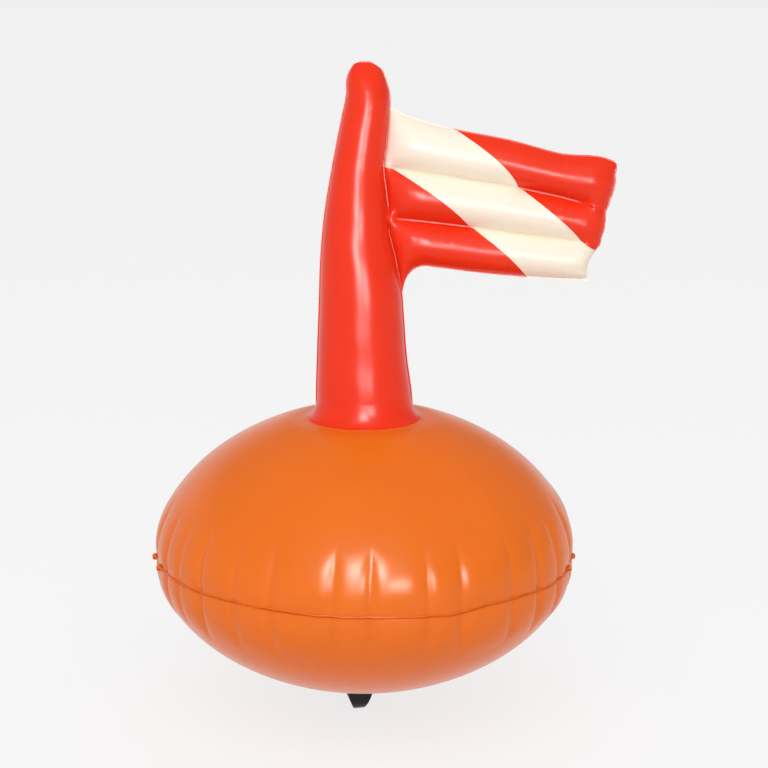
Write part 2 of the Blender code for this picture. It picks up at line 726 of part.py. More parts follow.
def build_flap(group, cutters, seat, material):
    """Disc that closes the inner end of the bore and swings inwards."""
    out = VALVE_STEM_RADIUS
    up = -(VALVE_TUBE_DEPTH + GAP + FLAP_THICKNESS / 2)
    radius = VALVE_BORE_RADIUS + FLAP_OVERLAP
    mesh = rod_mesh(radius, FLAP_THICKNESS)
    mesh.transform(Matrix.Translation((0.0, -out, 0.0)))
    flap = add_object("valve_flap", mesh, group, parent=seat, place=(0.0, out, up))
    strap = strap_mesh(out - radius + STRAP_ROOT, FLAP_STRAP_THICKNESS, STRAP_WIDTH)
    add_boolean(flap, add_cutter("flap_strap", strap, cutters, seat, (0.0, out, up)), "UNION")
    return finish(flap, material)


def build_lug(group, cutters, material):
    """Loop with an eye across it, on a round flange that is welded under the float."""
    top = LUG_EYE_DEPTH - GAP
    dish = line_height(lower_profile(), LUG_FLANGE_RADIUS) + FLOAT_DROP
    thick, rim = LUG_FLANGE_THICKNESS, LUG_FLANGE_RADIUS
    profile = [(0.0, top), (rim, top + dish), (rim, top + dish - thick / 2)]
    profile += [(rim - thick, top + dish - thick), (0.0, top - thick)]
    flange = add_cutter("lug_flange", turned_mesh(profile, SMALL_STEPS), cutters)
    root, eye = top - thick / 2, LUG_EYE_STRAIGHT / 2
    wide, deep = LUG_EYE_RADIUS + LUG_LEG, LUG_EYE_RADIUS + LUG_BAR
    bottom = arc((0.0, 0.0), wide, 180, 360, LUG_END_STEPS)
    side = [(wide + LUG_ROOT_SPREAD, root)]
    side += [(-across, up * deep / wide - eye) for across, up in bottom]
    side += [(-wide - LUG_ROOT_SPREAD, root)]
    sideways = Matrix.Rotation(pi / 2, 4, "Z") @ Matrix.Rotation(pi / 2, 4, "X")
    lug = add_object("line_lug", flat_mesh(side, LUG_ROOT_THICKNESS + OVERRUN, sideways), group)
    tip = -eye - deep
    half = LUG_TIP_THICKNESS / 2
    front = [(-LUG_ROOT_THICKNESS / 2, root + GAP), (-half, tip + LUG_CORNER), (LUG_CORNER - half, tip)]
    front += [(-across, up) for across, up in reversed(front)]
    mesh = flat_mesh(front, 2 * (wide + LUG_ROOT_SPREAD) + OVERRUN, Matrix.Rotation(pi / 2, 4, "X"))
    add_boolean(lug, add_cutter("lug_taper", mesh, cutters), "INTERSECT")
    hole = arc((0.0, -eye), LUG_EYE_RADIUS, 180, 360, EYE_STEPS)
    hole += arc((0.0, eye), LUG_EYE_RADIUS, 0, 180, EYE_STEPS)
    mesh = flat_mesh(hole, LUG_ROOT_THICKNESS + OVERRUN, sideways)
    add_boolean(lug, add_cutter("lug_eye", mesh, cutters), "DIFFERENCE")
    add_boolean(lug, flange, "UNION")
    lug.rotation_euler = (0.0, 0.0, LUG_YAW)
    for cutter in cutters.objects:
        if cutter.name.startswith("lug_"):
            cutter.rotation_euler = lug.rotation_euler
    return finish(lug, material)


def ballast_floor(radius):
    """Height of the inner side of the film at the bottom of the float."""
    return line_height(lower_profile(), radius) + FLOAT_FILM + GAP


def build_ballast(group, material):
    top = ballast_floor(0.0) + BALLAST_THICKNESS
    profile = [(0.0, top), (BALLAST_RADIUS - BALLAST_EDGE, top), (BALLAST_RADIUS, top - BALLAST_EDGE)]
    profile += [(BALLAST_RADIUS, ballast_floor(BALLAST_RADIUS)), (0.0, ballast_floor(0.0))]
    mesh = turned_mesh(profile, SMALL_STEPS)
    return finish(add_object("ballast_weight", mesh, group, place=(0.0, 0.0, WELD_HEIGHT)), material)


def build_pocket(group, material):
    """Film cap over the ballast, welded to the inner side of the float round it."""
    room = GAP + POCKET_FILM
    top = ballast_floor(0.0) + BALLAST_THICKNESS + room
    side = BALLAST_RADIUS + room
    rim = side + POCKET_WELD
    profile = [(0.0, top), (side, top), (side, ballast_floor(side) + POCKET_FILM)]
    profile += [(rim, ballast_floor(rim) + POCKET_FILM)]
    mesh = turned_mesh(profile, SMALL_STEPS)
    pocket = add_object("ballast_pocket", mesh, group, place=(0.0, 0.0, WELD_HEIGHT))
    add_solidify(pocket, POCKET_FILM, -1.0)
    return finish(pocket, material)


def build_float(group, cutters, seat):
    """The two halves of the float, the upper one with a hole for the valve."""
    orange = make_material("float_film", FLOAT_ORANGE, 0.35)
    upper = build_shell("upper_shell", upper_profile(), PLEAT_REACH_UP, group, orange)
    hole = rod_mesh(VALVE_STEM_RADIUS + GAP, 2 * VALVE_TUBE_DEPTH)
    add_boolean(upper, add_cutter("valve_hole", hole, cutters, seat), "DIFFERENCE")
    build_shell("lower_shell", lower_profile(), PLEAT_REACH_DOWN, group, orange)


def build_flag_and_mast(group, cutters):
    """The collar, and on it the two sheets and the stripes printed on their flag."""
    build_collar(group, make_material("collar_film", FLAG_RED, 0.30))
    foot = add_object("mast_foot", None, group)
    foot.location = (LUG_OFFSET, 0.0, WELD_HEIGHT + collar_top() + GAP)
    for name, side in (("front", -1), ("back", 1)):
        build_sheet(name + "_sheet", side, group, foot, make_material(name + "_film", FLAG_RED, 0.30))
        print_white = make_material(name + "_print", FLAG_WHITE, 0.45)
        build_stripe("stripe_" + name, side, group, cutters, foot, print_white)


def build_valve(group, cutters, seat):
    build_valve_body(group, cutters, seat, make_material("valve_vinyl", VALVE_CLEAR, 0.40))
    build_plug(group, cutters, seat, make_material("plug_vinyl", VALVE_CLEAR, 0.40))
    build_flap(group, cutters, seat, make_material("flap_vinyl", VALVE_CLEAR, 0.50))


def main():
    clear_scene()
    group = new_collection("dive_flag_float")
    cutters = new_collection("cutters")
    seat = add_valve_seat(group)
    build_float(group, cutters, seat)
    build_flag_and_mast(group, cutters)
    build_valve(group, cutters, seat)
    build_lug(group, cutters, make_material("lug_rubber", LUG_BLACK, 0.35))
    build_ballast(group, make_material("ballast_iron", IRON_GREY, 0.60, 1.0))
    build_pocket(group, make_material("pocket_film", FLOAT_ORANGE, 0.40))


main()
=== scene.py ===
"""Dive flag float: film shells, mast and flag sheets, prints, mouth valve, line lug and ballast.

Metres, +Z up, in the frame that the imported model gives. The origin is the centre of the lug's eye,
the flag flies towards +X and the valve stands behind the mast, at +Y.
"""

from math import atan2, cos, pi, radians, sin, sqrt, tau

import bpy
import numpy as np
from mathutils import Matrix, Vector


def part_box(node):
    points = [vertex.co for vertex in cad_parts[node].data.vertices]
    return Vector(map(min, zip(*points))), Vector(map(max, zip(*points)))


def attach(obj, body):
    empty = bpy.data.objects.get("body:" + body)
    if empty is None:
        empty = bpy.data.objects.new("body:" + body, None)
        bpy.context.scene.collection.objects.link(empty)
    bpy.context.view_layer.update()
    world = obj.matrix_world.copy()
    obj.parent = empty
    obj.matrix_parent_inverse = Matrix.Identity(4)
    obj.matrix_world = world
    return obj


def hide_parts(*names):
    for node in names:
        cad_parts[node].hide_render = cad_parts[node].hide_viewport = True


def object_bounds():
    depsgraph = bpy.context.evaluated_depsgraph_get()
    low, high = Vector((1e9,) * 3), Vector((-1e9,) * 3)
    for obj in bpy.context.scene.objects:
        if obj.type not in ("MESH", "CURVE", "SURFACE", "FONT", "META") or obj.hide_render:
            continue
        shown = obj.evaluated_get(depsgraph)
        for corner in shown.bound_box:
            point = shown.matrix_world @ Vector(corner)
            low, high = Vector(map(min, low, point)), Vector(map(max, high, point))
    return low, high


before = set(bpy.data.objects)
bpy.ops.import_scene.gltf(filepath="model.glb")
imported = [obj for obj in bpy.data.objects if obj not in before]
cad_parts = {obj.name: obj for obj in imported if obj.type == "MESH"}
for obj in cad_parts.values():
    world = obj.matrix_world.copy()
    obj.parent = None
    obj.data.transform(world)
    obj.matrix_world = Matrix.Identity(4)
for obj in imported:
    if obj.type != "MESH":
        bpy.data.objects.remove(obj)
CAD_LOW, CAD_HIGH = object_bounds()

bl_info = {
    "name": "Dive flag float",
    "version": (1, 0, 0),
    "blender": (4, 5, 0),
    "location": "3D View > Sidebar > Dive float",
    "description": "Models an inflatable dive float with its mast, flag, valve, lug and ballast",
    "category": "Add Mesh",
}

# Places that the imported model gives: the float's axis, its weld and the two ends of the mast
AXIS = (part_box("mast_collar")[0].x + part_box("mast_collar")[1].x) / 2
WELD_HEIGHT = (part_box("upper_shell")[0].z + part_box("lower_shell")[1].z) / 2
MAST_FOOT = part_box("front_sheet")[0].z
MAST_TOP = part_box("front_sheet")[1].z

# Share of a turn from the front towards +X, share of the full depth, share of the full reach
# and slant of each pleat that the weld pulls into the float's film
PLEAT_SHARES = (
    (0.005, 1.0, 0.95, 0.03), (0.046, 0.7, 0.90, 0.02), (0.071, 1.0, 1.00, 0.05),
    (0.116, 0.8, 0.80, 0.03), (0.146, 1.0, 1.00, 0.07), (0.176, 0.6, 0.70, 0.00),
    (0.211, 0.8, 0.90, 0.05), (0.247, 0.9, 0.90, 0.06), (0.288, 0.6, 0.60, 0.00),
    (0.329, 0.9, 1.00, -0.08), (0.370, 0.7, 0.70, 0.05), (0.410, 1.0, 0.90, 0.07),
    (0.452, 0.6, 0.60, -0.06), (0.493, 0.9, 1.00, 0.00), (0.534, 0.7, 0.60, 0.06),
    (0.576, 1.0, 0.95, -0.07), (0.617, 0.6, 0.70, 0.00), (0.658, 0.9, 0.90, 0.08),
    (0.700, 0.7, 0.60, 0.00), (0.742, 1.0, 1.00, -0.06), (0.783, 0.8, 0.90, 0.00),
    (0.817, 0.7, 0.80, -0.03), (0.842, 0.5, 0.60, 0.00), (0.869, 1.0, 1.00, -0.02),
    (0.903, 0.7, 0.90, 0.00), (0.933, 1.0, 1.00, 0.03), (0.979, 0.8, 0.90, 0.03),
)

# Knots where the weld has caught a fold: share of a turn, and share of the common knot's size
KNOT_SHARES = ((0.773, 2.9), (0.803, 3.0), (0.742, 1.2), (0.227, 2.2), (0.201, 2.4), (0.256, 0.8))

# Slow waves of the weld: share of a turn, and height as a share of the tallest wave
WELD_WAVE_SHARES = (
    (0.000, 0.55), (0.036, 0.25), (0.069, -0.20), (0.089, 0.40), (0.125, 0.20), (0.150, -0.30),
    (0.172, -0.65), (0.230, 0.00), (0.300, 0.50), (0.400, -0.40), (0.500, 0.40), (0.600, -0.50),
    (0.700, 0.30), (0.780, -0.10), (0.825, 0.55), (0.861, 0.55), (0.908, 1.00), (0.964, 0.65),
    (1.000, 0.55),
)

# Mast outline: share of its height, then left and right edges as shares of the foot's radius
MAST_SHARES = (
    (0.000, -0.958, 0.958), (0.038, -0.956, 0.937), (0.146, -0.930, 0.840), (0.269, -0.895, 0.779),
    (0.335, -0.877, 0.744), (0.433, -0.851, 0.635), (0.524, -0.800, 0.495), (0.585, -0.749, 0.484),
    (0.705, -0.609, 0.402), (0.765, -0.533, 0.447), (0.849, -0.416, 0.502), (0.905, -0.340, 0.512),
    (0.955, -0.321, 0.419), (0.979, -0.250, 0.338), (0.993, -0.168, 0.200), (1.000, -0.060, 0.110),
)

# The four long lines of the flag, lowest first, as shares of its reach and of its hoist
FLAG_LINE_SHARES = (
    ((0.156, 0.000), (0.164, 0.054), (0.188, 0.111), (0.228, 0.144), (0.297, 0.139),
     (0.437, 0.115), (0.658, 0.087), (0.902, 0.070)),
    ((0.101, 0.410), (0.263, 0.387), (0.419, 0.362), (0.623, 0.327), (0.871, 0.280), (0.944, 0.264)),
    ((0.084, 0.681), (0.183, 0.664), (0.341, 0.635), (0.607, 0.573), (0.866, 0.492), (0.965, 0.446)),
    ((0.106, 1.000), (0.159, 0.965), (0.241, 0.926), (0.348, 0.889), (0.584, 0.826),
     (0.775, 0.758), (0.980, 0.720), (1.000, 0.700)),
)
TOP_CHANNEL = 2
FLAG_FULLNESS_SHARE = 0.34
FLY_BULGE_SHARES = (-0.024, 0.004, 0.012)
WELD_LINE_START_SHARE = 0.05
WELD_LINE_END_SHARE = 0.87
LINE_END_RISE_SHARE = 0.7

# Stripe edges in each channel, lowest first: share along the flag at the channel's bottom and
# top line, and how far the edge bows towards the fly between them
STRIPE_UPPER_SHARES = ((1.45, 0.913, 0.0), (0.913, 0.604, 0.028), (0.604, 0.270, 0.052))
STRIPE_LOWER_SHARES = ((0.672, 0.385, 0.028), (0.385, 0.028, 0.038))

# Distances at which vertices are merged: in films and copies, and in turned rings
MERGE_DISTANCE = 0.00001
RING_MERGE_DISTANCE = 0.000005

# Lobes between the pleats: width over height at a slope of 1, the powers of their section and
# of their fading, and the share of that height that they reach past their roll at the weld
LOBE_SPAN, LOBE_POWER, LOBE_FADE_POWER, LOBE_FULL = 10, 3.5, 2.2, 1.4

# Pleats: the power of their fading, how far the weld draws the film in all round, and by how many
# times its width a crease widens in a metre
PLEAT_FADE_POWER, WELD_DRAW, CREASE_SPREAD = 0.9, 0.0008, 22

# The second pleat beside the deepest one: place and slant in turns, the rest in metres
TWIN_PLACE, TWIN_SLANT, TWIN_REACH = 0.0105, 0.10, 0.032
TWIN_DEPTH, TWIN_WIDTH, TWIN_SPREAD, TWIN_POWER = 0.0006, 0.0022, 0.02, 1.4

# Puckers on the weld: how many there are, and the least and most of each measure
PUCKER_COUNT = 90
PUCKER_REACH, PUCKER_DEPTH, PUCKER_WIDTH = (0.006, 0.020), (0.0001, 0.0005), (0.0012, 0.0026)

# Weld flange: its rows from the edge inwards as shares of its width, the half width of a knot,
# the size of a knot at the deepest pleat and its share in the bead, how uneven the bead, the
# width and the droop are, and how many times the pleats' reach the slow waves run
FLANGE_STEPS = (1.0, 0.94, 0.80, 0.56, 0.30, 0.06)
KNOT_WIDTH, PLEAT_KNOT_SHARE, BEAD_KNOT_SHARE = 0.0040, 0.6, 0.6
BEAD_UNEVEN, FLANGE_UNEVEN, DROOP_UNEVEN = 0.5, 0.3, 0.4
WAVE_REACH = 1.4

# Wave lengths of what is uneven, and the seed of each: in turns round the weld, then in metres
BEAD_WAVES = (1 / 29, 1 / 53), 10
FLUTTER_WAVES = (1 / 26, 1 / 39, 1 / 17, 1 / 55), 5
FLANGE_WAVES = (1 / 31, 1 / 67), 8
DROOP_WAVES = (1 / 23, 1 / 41), 9
RISING_WAVES = (0.061, 0.037), 11
CROSSING_WAVES = (0.083, 0.051), 12
FLY_WAVES = (0.0171, 0.0287, 0.0101), 33
EDGE_PUCKER_WAVES = (0.0067, 0.0093, 0.0131)

# Puckers along the welds of the sheets: how far they run in, how deep they are, and their seed
LINE_PUCKERS = ((0.007, 0.0008, 20), (0.007, 0.0008, 21), (0.007, 0.0008, 22))
FLY_PUCKERS = (0.014, 0.0011, 30)
HOIST_PUCKERS = (0.012, 0.0012, 31)
MAST_PUCKERS = (0.006, 0.0007, 41)

# Blown sheets: depth of their relief, how far the film has to stand off the weld plane for all
# of it to show, and the height over the mast's foot below which it fades
RELIEF_DEPTH, RELIEF_WHOLE, FOOT_CALM = 0.0006, 0.004, 0.02

# Round ends: share of a channel's height at the mast, and of half the foot's radius at the tip
HOIST_ROUND_SHARE, TIP_ROUND_SHARE = 0.85, 1.1

# Outer end of the flag: powers that keep its bulges and its waves to the end, and their depth
FLY_BULGE_POWER, FLY_WAVE_POWER, FLY_WAVE = 4, 12, 0.0008

# Air gap: how far it bulges into the films, and the bulge below which they count as welded
AIR_GAP_REACH, CLOSED_GAP = 0.007, 0.0005

# Width of the mast's weld at its foot, distance of each sheet from the weld plane, and gap
# between a sheet and its print
FOOT_WELD, SHEET_GAP, PRINT_GAP = 0.0008, 0.00002, 0.00020

# How strongly a weld shows at the outer edges, and in the mast's row beside the flag's weld
# Both set the welds' ribs and their pale tint, which is partly whitened film and partly a painted
# glint
EDGE_WELD_AND_GLINT, BESIDE_WELD_AND_GLINT = 0.1, 0.3

# How the float's rows crowd to the weld and the flag's columns to the mast, where 1 is even, and
# the faces across a channel
ROW_SPREAD, COLUMN_SPREAD, CHANNEL_STEPS = 1.35, 1.15, 22

# Collar: gap over the float, thickness at its rim and of its wall, the step that tells the
# float's slope, how far the flare's curve is drawn outwards and down from its top end and inwards
# from its rim, and the faces along it
COLLAR_GAP, COLLAR_EDGE, COLLAR_WALL = 0.0002, 0.0004, 0.0016
SLOPE_STEP = 0.002
FLARE_HANDLES = (0.0012, 0.0115, 0.0034)
FLARE_STEPS = 14

# Radius of the small flat at the middle of a turned piece
PIN_RADIUS = 0.0003

# Finishes: how fine the clouds and the peel are, how deep and strong the relief is, the height of
# the welds' ribs against the peel, and the gloss of the films and of the coat
FILM_CLOUD, FILM_PEEL = 22.0, 900.0
MOULD_CLOUD, MOULD_PEEL, CAST_PEEL = 90.0, 1400.0, 700.0
FILM_RELIEF, MOULD_RELIEF = 0.00004, 0.00005
RELIEF_STRENGTH = 0.5
RIB_SHARE = 2.5
FILM_SPECULAR = 0.21
COAT_ROUGHNESS = 0.1

# Floor and backdrop: size and gap under the part, how brightly the floor is seen, the way up from
# which the backdrop's height is told, and its heights and strengths at the horizon and overhead
FLOOR_SIZE, FLOOR_GAP = 400.0, 0.0005
FLOOR_GLOW, FLOOR_GLOW_SHARE = 1.13, 0.80
BACKDROP_UP = (0.25, 0.0, 1.0)
BACKDROP_RANGE = (0.02, 0.42, 1.0, 0.30)
SENSOR_WIDTH = 36.0

# Lamps: name, place, aim, width and height, the setting of its power, and whether it lights
# surfaces and whether it is seen in their gloss
LAMPS = (
    ("strip_softbox", (AXIS - 0.010, -0.62, 0.480), (AXIS, 0.0, 0.33), (0.15, 0.19),
     "key_strength", False, True),
    ("strip_halo", (AXIS - 0.008, -0.63, 0.45), (AXIS, 0.0, 0.33), (0.16, 0.44),
     "halo_strength", False, True),
    ("side_strip", (AXIS + 0.285, -0.95, 0.42), (AXIS, 0.0, 0.40), (0.23, 0.24),
     "side_strength", False, True),
    ("wide_softbox", (-0.12, -1.9, 1.9), (0.0, 0.0, 0.25), (2.4, 1.8),
     "fill_strength", True, False),
)


def length(name, description, default):
    return bpy.props.FloatProperty(name=name, description=description, default=default,
                                   min=0.0, precision=5, unit="LENGTH")


def share(name, description, default):
    return bpy.props.FloatProperty(name=name, description=description, default=default,
                                   min=0.0, max=2.0)


def count(name, description, default):
    return bpy.props.IntProperty(name=name, description=description, default=default, min=3)


def colour(name, description, default):
    return bpy.props.FloatVectorProperty(name=name, description=description, default=default,
                                         size=3, min=0.0, max=1.0, subtype="COLOR")


class FloatSizes(bpy.types.PropertyGroup):
    radius: length("Radius", "Radius of the float at its weld", 0.180)
    rise: length("Rise", "Height of the upper film over the weld", 0.1242)
    drop: length("Drop", "Depth of the lower film under the weld", 0.1154)
    film: length("Film", "Thickness of the float's film", 0.0005)
    weld: length("Weld", "Width of the weld flange round the float", 0.0008)
    droop: length("Droop", "How far the edge of the weld flange hangs down", 0.0004)
    flutter: length("Flutter", "How far the weld flange waves up and down", 0.0003)
    wave: length("Weld wave", "Height of the tallest slow wave of the weld", 0.0036)
    power: share("Outline power", "Power of the outline's curve: 2 is an ellipse", 1.88)
    hole: length("Mast hole", "Radius of the hole under the mast", 0.036)
    pull: length("Pull", "How far the weld pulls the film in at the deepest pleat", 0.0016)
    slope: share("Lobe slope", "Slope of the film at the two sides of a lobe", 0.60)
    flatness: share("Lobe flatness", "How flat the middle of a lobe is: 1 is straight across", 0.65)
    knot: length("Knot", "How far the flange stands out where a pleat is caught in it", 0.0012)
    roll: length("Roll", "How far from the weld a lobe is rolled in", 0.014)
    seat_drop: length("Seat drop", "How far the collar draws the film down", 0.0036)
    seat_width: length("Seat width", "How far from the collar's rim the film is drawn down", 0.0120)
    bead: length("Bead", "How far the rounded lip of the weld flange swells", 0.0003)
    lower_depth: share("Lower depth", "Depth of the lower film's pleats against the upper", 1.12)
    crease: length("Crease", "Depth of the crease at the bottom of the deepest pleat", 0.0019)
    crease_width: length("Crease width", "Half width of a crease at the weld", 0.0036)
    pleat_reach_up: length("Pleat reach up", "How far the pleats run up the upper film", 0.058)
    pleat_reach_down: length("Pleat reach down", "How far the pleats run down the lower film", 0.044)
    columns: count("Columns", "Faces round the float", 624)
    rows: count("Rows", "Faces from the weld to the top", 60)
    drawn_low: length("Drawn radius", "Radius inside which the film stands over the lug", 0.0436)
    drawn_high: length("Undrawn radius", "Radius past which the film keeps to the axis", 0.0751)


class FlagSizes(bpy.types.PropertyGroup):
    foot_radius: length("Foot radius", "Radius of the mast at its foot", 0.0430)
    height: length("Height", "Height of the mast over its foot", MAST_TOP - MAST_FOOT)
    fullness: share("Fullness", "Depth of the mast as a share of its width", 0.995)
    film: length("Film", "Thickness of the flag's film", 0.0004)
    weld: length("Weld", "Width of the weld round the mast and flag", 0.0014)
    line: length("Weld line", "Width of the weld lines between the channels", 0.0016)
    foot: length("Flag foot", "Height of the flag's lowest point over the mast's foot", 0.0959)
    hoist: length("Hoist", "Height of the flag where it meets the mast", 0.1535)
    reach: length("Reach", "How far the flag reaches from the mast's axis", 0.2080)
    air_gap: length("Air gap", "Height of the opening that feeds the flag from the mast", 0.0150)
    air_bulge: length("Air gap bulge", "Half depth of that opening", 0.0045)
    print_film: length("Print", "Thickness of the printed stripe", 0.00015)
    collar_top: length("Collar top", "Radius of the collar where it leaves the mast", 0.0397)
    collar_rise: length("Collar rise", "Height over the mast's foot where the collar ends", 0.0090)
    collar_rim: length("Collar rim", "Radius of the collar where it lies on the float", 0.0480)


class ValveSizes(bpy.types.PropertyGroup):
    offset: length("Offset", "How far behind the mast's axis the valve stands", 0.0920)
    flange_radius: length("Flange radius", "Radius of the flange that is welded on the film", 0.0150)
    flange: length("Flange", "Height of the flange's top over the seat", 0.0015)
    stem_radius: length("Stem radius", "Radius of the mouthpiece", 0.0075)
    stem_height: length("Stem height", "Height of the mouthpiece", 0.0120)
    bore_radius: length("Bore radius", "Radius of the bore", 0.0052)
    tube_depth: length("Tube depth", "How far the tube reaches inside the film", 0.0090)
    gap: length("Gap", "Gap between the plug or flap and its seat", 0.0003)
    head_radius: length("Head radius", "Radius of the plug's head", 0.0078)
    head: length("Head", "Thickness of the plug's head", 0.0022)
    neck_radius: length("Neck radius", "Radius of the plug under its head", 0.0043)
    tip_radius: length("Tip radius", "Radius of the plug's tip", 0.0034)
    plug_depth: length("Plug depth", "How far the plug reaches into the bore", 0.0060)
    strap_reach: length("Strap reach", "Distance from the plug's head to its hinge", 0.0030)
    strap: length("Strap", "Thickness of the plug's strap", 0.0012)
    strap_width: length("Strap width", "Width of the straps", 0.0050)
    strap_step: length("Strap step", "Height of the strap over the plug's seat", 0.0001)
    ear_depth: length("Ear depth", "Height of the ear that carries the strap", 0.0035)
    flap_radius: length("Flap radius", "Radius of the flap under the bore", 0.0066)
    flap: length("Flap", "Thickness of the flap", 0.0010)
    flap_strap: length("Flap strap", "Thickness of the flap's strap", 0.0007)
    fillet: length("Fillet", "Radius between the flange and the mouthpiece", 0.0018)


class BaseSizes(bpy.types.PropertyGroup):
    lug_grain: length("Lug mesh", "Spacing of the lug's rounded mesh", 0.00055)
    lug_turn: bpy.props.FloatProperty(
        name="Lug turn", description="How far the eye is turned from X", default=radians(12),
        unit="ROTATION")
    lug_root: length("Lug root", "Height over the eye at which the lug leaves its flange", 0.0155)
    lug_drop: length("Lug drop", "Depth of the lug's tip under the eye", 0.0159)
    tip_spread: share("Tip spread", "Share by which the lug is wider at its tip", 0.40)
    ballast_radius: length("Ballast radius", "Radius of the ballast", 0.0260)
    ballast: length("Ballast", "Thickness of the ballast", 0.0120)
    pocket_film: length("Pocket film", "Thickness of the pocket's film", 0.0004)
    pocket_weld: length("Pocket weld", "Width of the pocket's weld", 0.0120)
    pocket_edge: length("Pocket edge", "Radius of the pocket's shoulder", 0.0020)


class FilmColours(bpy.types.PropertyGroup):
    float_orange: colour("Float orange", "Orange of the float's film", (0.84, 0.165, 0.012))
    flag_red: colour("Flag red", "Red of the mast and flag", (0.87, 0.036, 0.009))
    print_white: colour("Print white", "White of the printed stripe", (0.965, 0.86, 0.71))
    valve_vinyl: colour("Valve vinyl", "Soft vinyl of the mouth valve", (0.80, 0.22, 0.06))
    lug_black: colour("Lug black", "Black of the moulded lug", (0.005, 0.0042, 0.004))
    ballast_grey: colour("Ballast grey", "Grey of the cast ballast", (0.12, 0.12, 0.125))
    floor_grey: colour("Floor grey", "Grey of the floor and the backdrop", (0.865, 0.865, 0.867))


class StageSettings(bpy.types.PropertyGroup):
    camera_place: bpy.props.FloatVectorProperty(
        name="Camera", description="Where the camera stands", size=3, subtype="TRANSLATION",
        default=(AXIS + 0.0167, -1.3777, 0.5919), unit="LENGTH")
    camera_dip: bpy.props.FloatProperty(
        name="Dip", description="How far the camera looks down", default=radians(12.86),
        unit="ROTATION")
    lens: bpy.props.FloatProperty(
        name="Lens", description="Focal length for a 36 mm wide sensor", default=78.28,
        min=1.0, unit="CAMERA")
    key_strength: bpy.props.FloatProperty(
        name="Key", default=2.2,
        description="Power of the strip softbox whose gleam runs down the mast")
    halo_strength: bpy.props.FloatProperty(
        name="Halo", default=2.6,
        description="Power of the taller strip round it, where the gleam fades out")
    side_strength: bpy.props.FloatProperty(
        name="Side", default=4.9,
        description="Power of the short strip whose gleam runs along the flag")
    fill_strength: bpy.props.FloatProperty(
        name="Fill", default=35.5, description="Power of the wide lamp over the camera")
    world_strength: bpy.props.FloatProperty(
        name="Surround", description="Strength of the even light all round", default=0.68)


def film_sizes():
    return bpy.context.scene.float_sizes, bpy.context.scene.flag_sizes


def clear_selection():
    if bpy.context.object and bpy.context.object.mode != "OBJECT":
        bpy.ops.object.mode_set(mode="OBJECT")
    bpy.ops.object.select_all(action="DESELECT")


def pick(*pieces):
    """Select only these pieces, the first one active."""
    clear_selection()
    for piece in pieces:
        piece.select_set(True)
    bpy.context.view_layer.objects.active = pieces[0]


def name_piece(name):
    piece = bpy.context.object
    piece.name = name
    piece.data.name = name
    return piece


def apply_modifier(piece, kind, **settings):
    pick(piece)
    modifier = piece.modifiers.new(kind.lower(), kind)
    for key, value in settings.items():
        setattr(modifier, key, value)
    bpy.ops.object.modifier_apply(modifier=modifier.name)


def edit_all(piece):
    """Enter edit mode with all of the piece selected."""
    pick(piece)
    bpy.ops.object.mode_set(mode="EDIT")
    bpy.ops.mesh.select_all(action="SELECT")


def clean_normals(piece):
    edit_all(piece)
    bpy.ops.mesh.remove_doubles(threshold=MERGE_DISTANCE)
    bpy.ops.mesh.normals_make_consistent(inside=False)
    bpy.ops.object.mode_set(mode="OBJECT")


def read_places(mesh):
    """Places of the mesh's vertices, one row each."""
    places = np.empty(len(mesh.vertices) * 3, np.float32)
    mesh.vertices.foreach_get("co", places)
    return places.reshape(-1, 3)


def write_places(mesh, places):
    mesh.vertices.foreach_set("co", places.astype(np.float32).ravel())
    mesh.update()


def smooth_shade(piece, angle=40):
    pick(piece)
    bpy.ops.object.shade_smooth_by_angle(angle=radians(angle))


def ride_for(piece, body, slot, *nodes):
    """The piece rides on its body and stands for its nodes, which it hides. The slot is not used."""
    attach(piece, body)
    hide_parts(*nodes)


def smooth_step(part):
    return part * part * (3 - 2 * part)


def fading(part):
    """1 where a part begins, falling to 0 at its end and past it."""
    return np.clip(1 - part, 0.0, 1.0)


def smooth_value(table, where, column=1):
    """Read a smooth curve through a table's rows at values of its first column."""
    knots = np.array([row[0] for row in table])
    values = np.array([row[column] for row in table])
    steps = np.diff(knots)
    secants = np.diff(values) / steps
    slopes = np.concatenate((secants[:1], (secants[:-1] + secants[1:]) / 2, secants[-1:]))
    at = np.clip(where, knots[0], knots[-1])
    row = np.clip(np.searchsorted(knots, at) - 1, 0, len(steps) - 1)
    part = (at - knots[row]) / steps[row]
    ease = smooth_step(part)
    early = part * (1 - part) ** 2 * steps[row]
    late = part * part * (part - 1) * steps[row]
    rise = values[row + 1] - values[row]
    return values[row] + ease * rise + early * slopes[row] + late * slopes[row + 1]


def ripple(where, waves, seed):
    """A smooth irregular curve between about -1 and 1, made of waves of unlike lengths."""
    draw = np.random.default_rng(seed)
    total = np.zeros_like(where)
    for wave in waves:
        total += np.sin(where * tau / wave + draw.uniform(0.0, tau)) * draw.uniform(0.5, 1.0)
    return total / len(waves)


def lay_film(name, points, weld):
    """A grid primitive laid over a surface: points is rows by columns by three."""
    rows, columns = points.shape[0] - 1, points.shape[1] - 1
    clear_selection()
    bpy.ops.mesh.primitive_grid_add(x_subdivisions=columns, y_subdivisions=rows, size=1.0)
    piece = name_piece(name)
    flat = read_places(piece.data)
    column = np.rint((flat[:, 0] + 0.5) * columns).astype(int)
    row = np.rint((flat[:, 1] + 0.5) * rows).astype(int)
    write_places(piece.data, points[row, column])
    welded = piece.data.attributes.new("weld", "FLOAT", "POINT")
    welded.data.foreach_set("value", weld[row, column].astype(np.float32))
    return piece


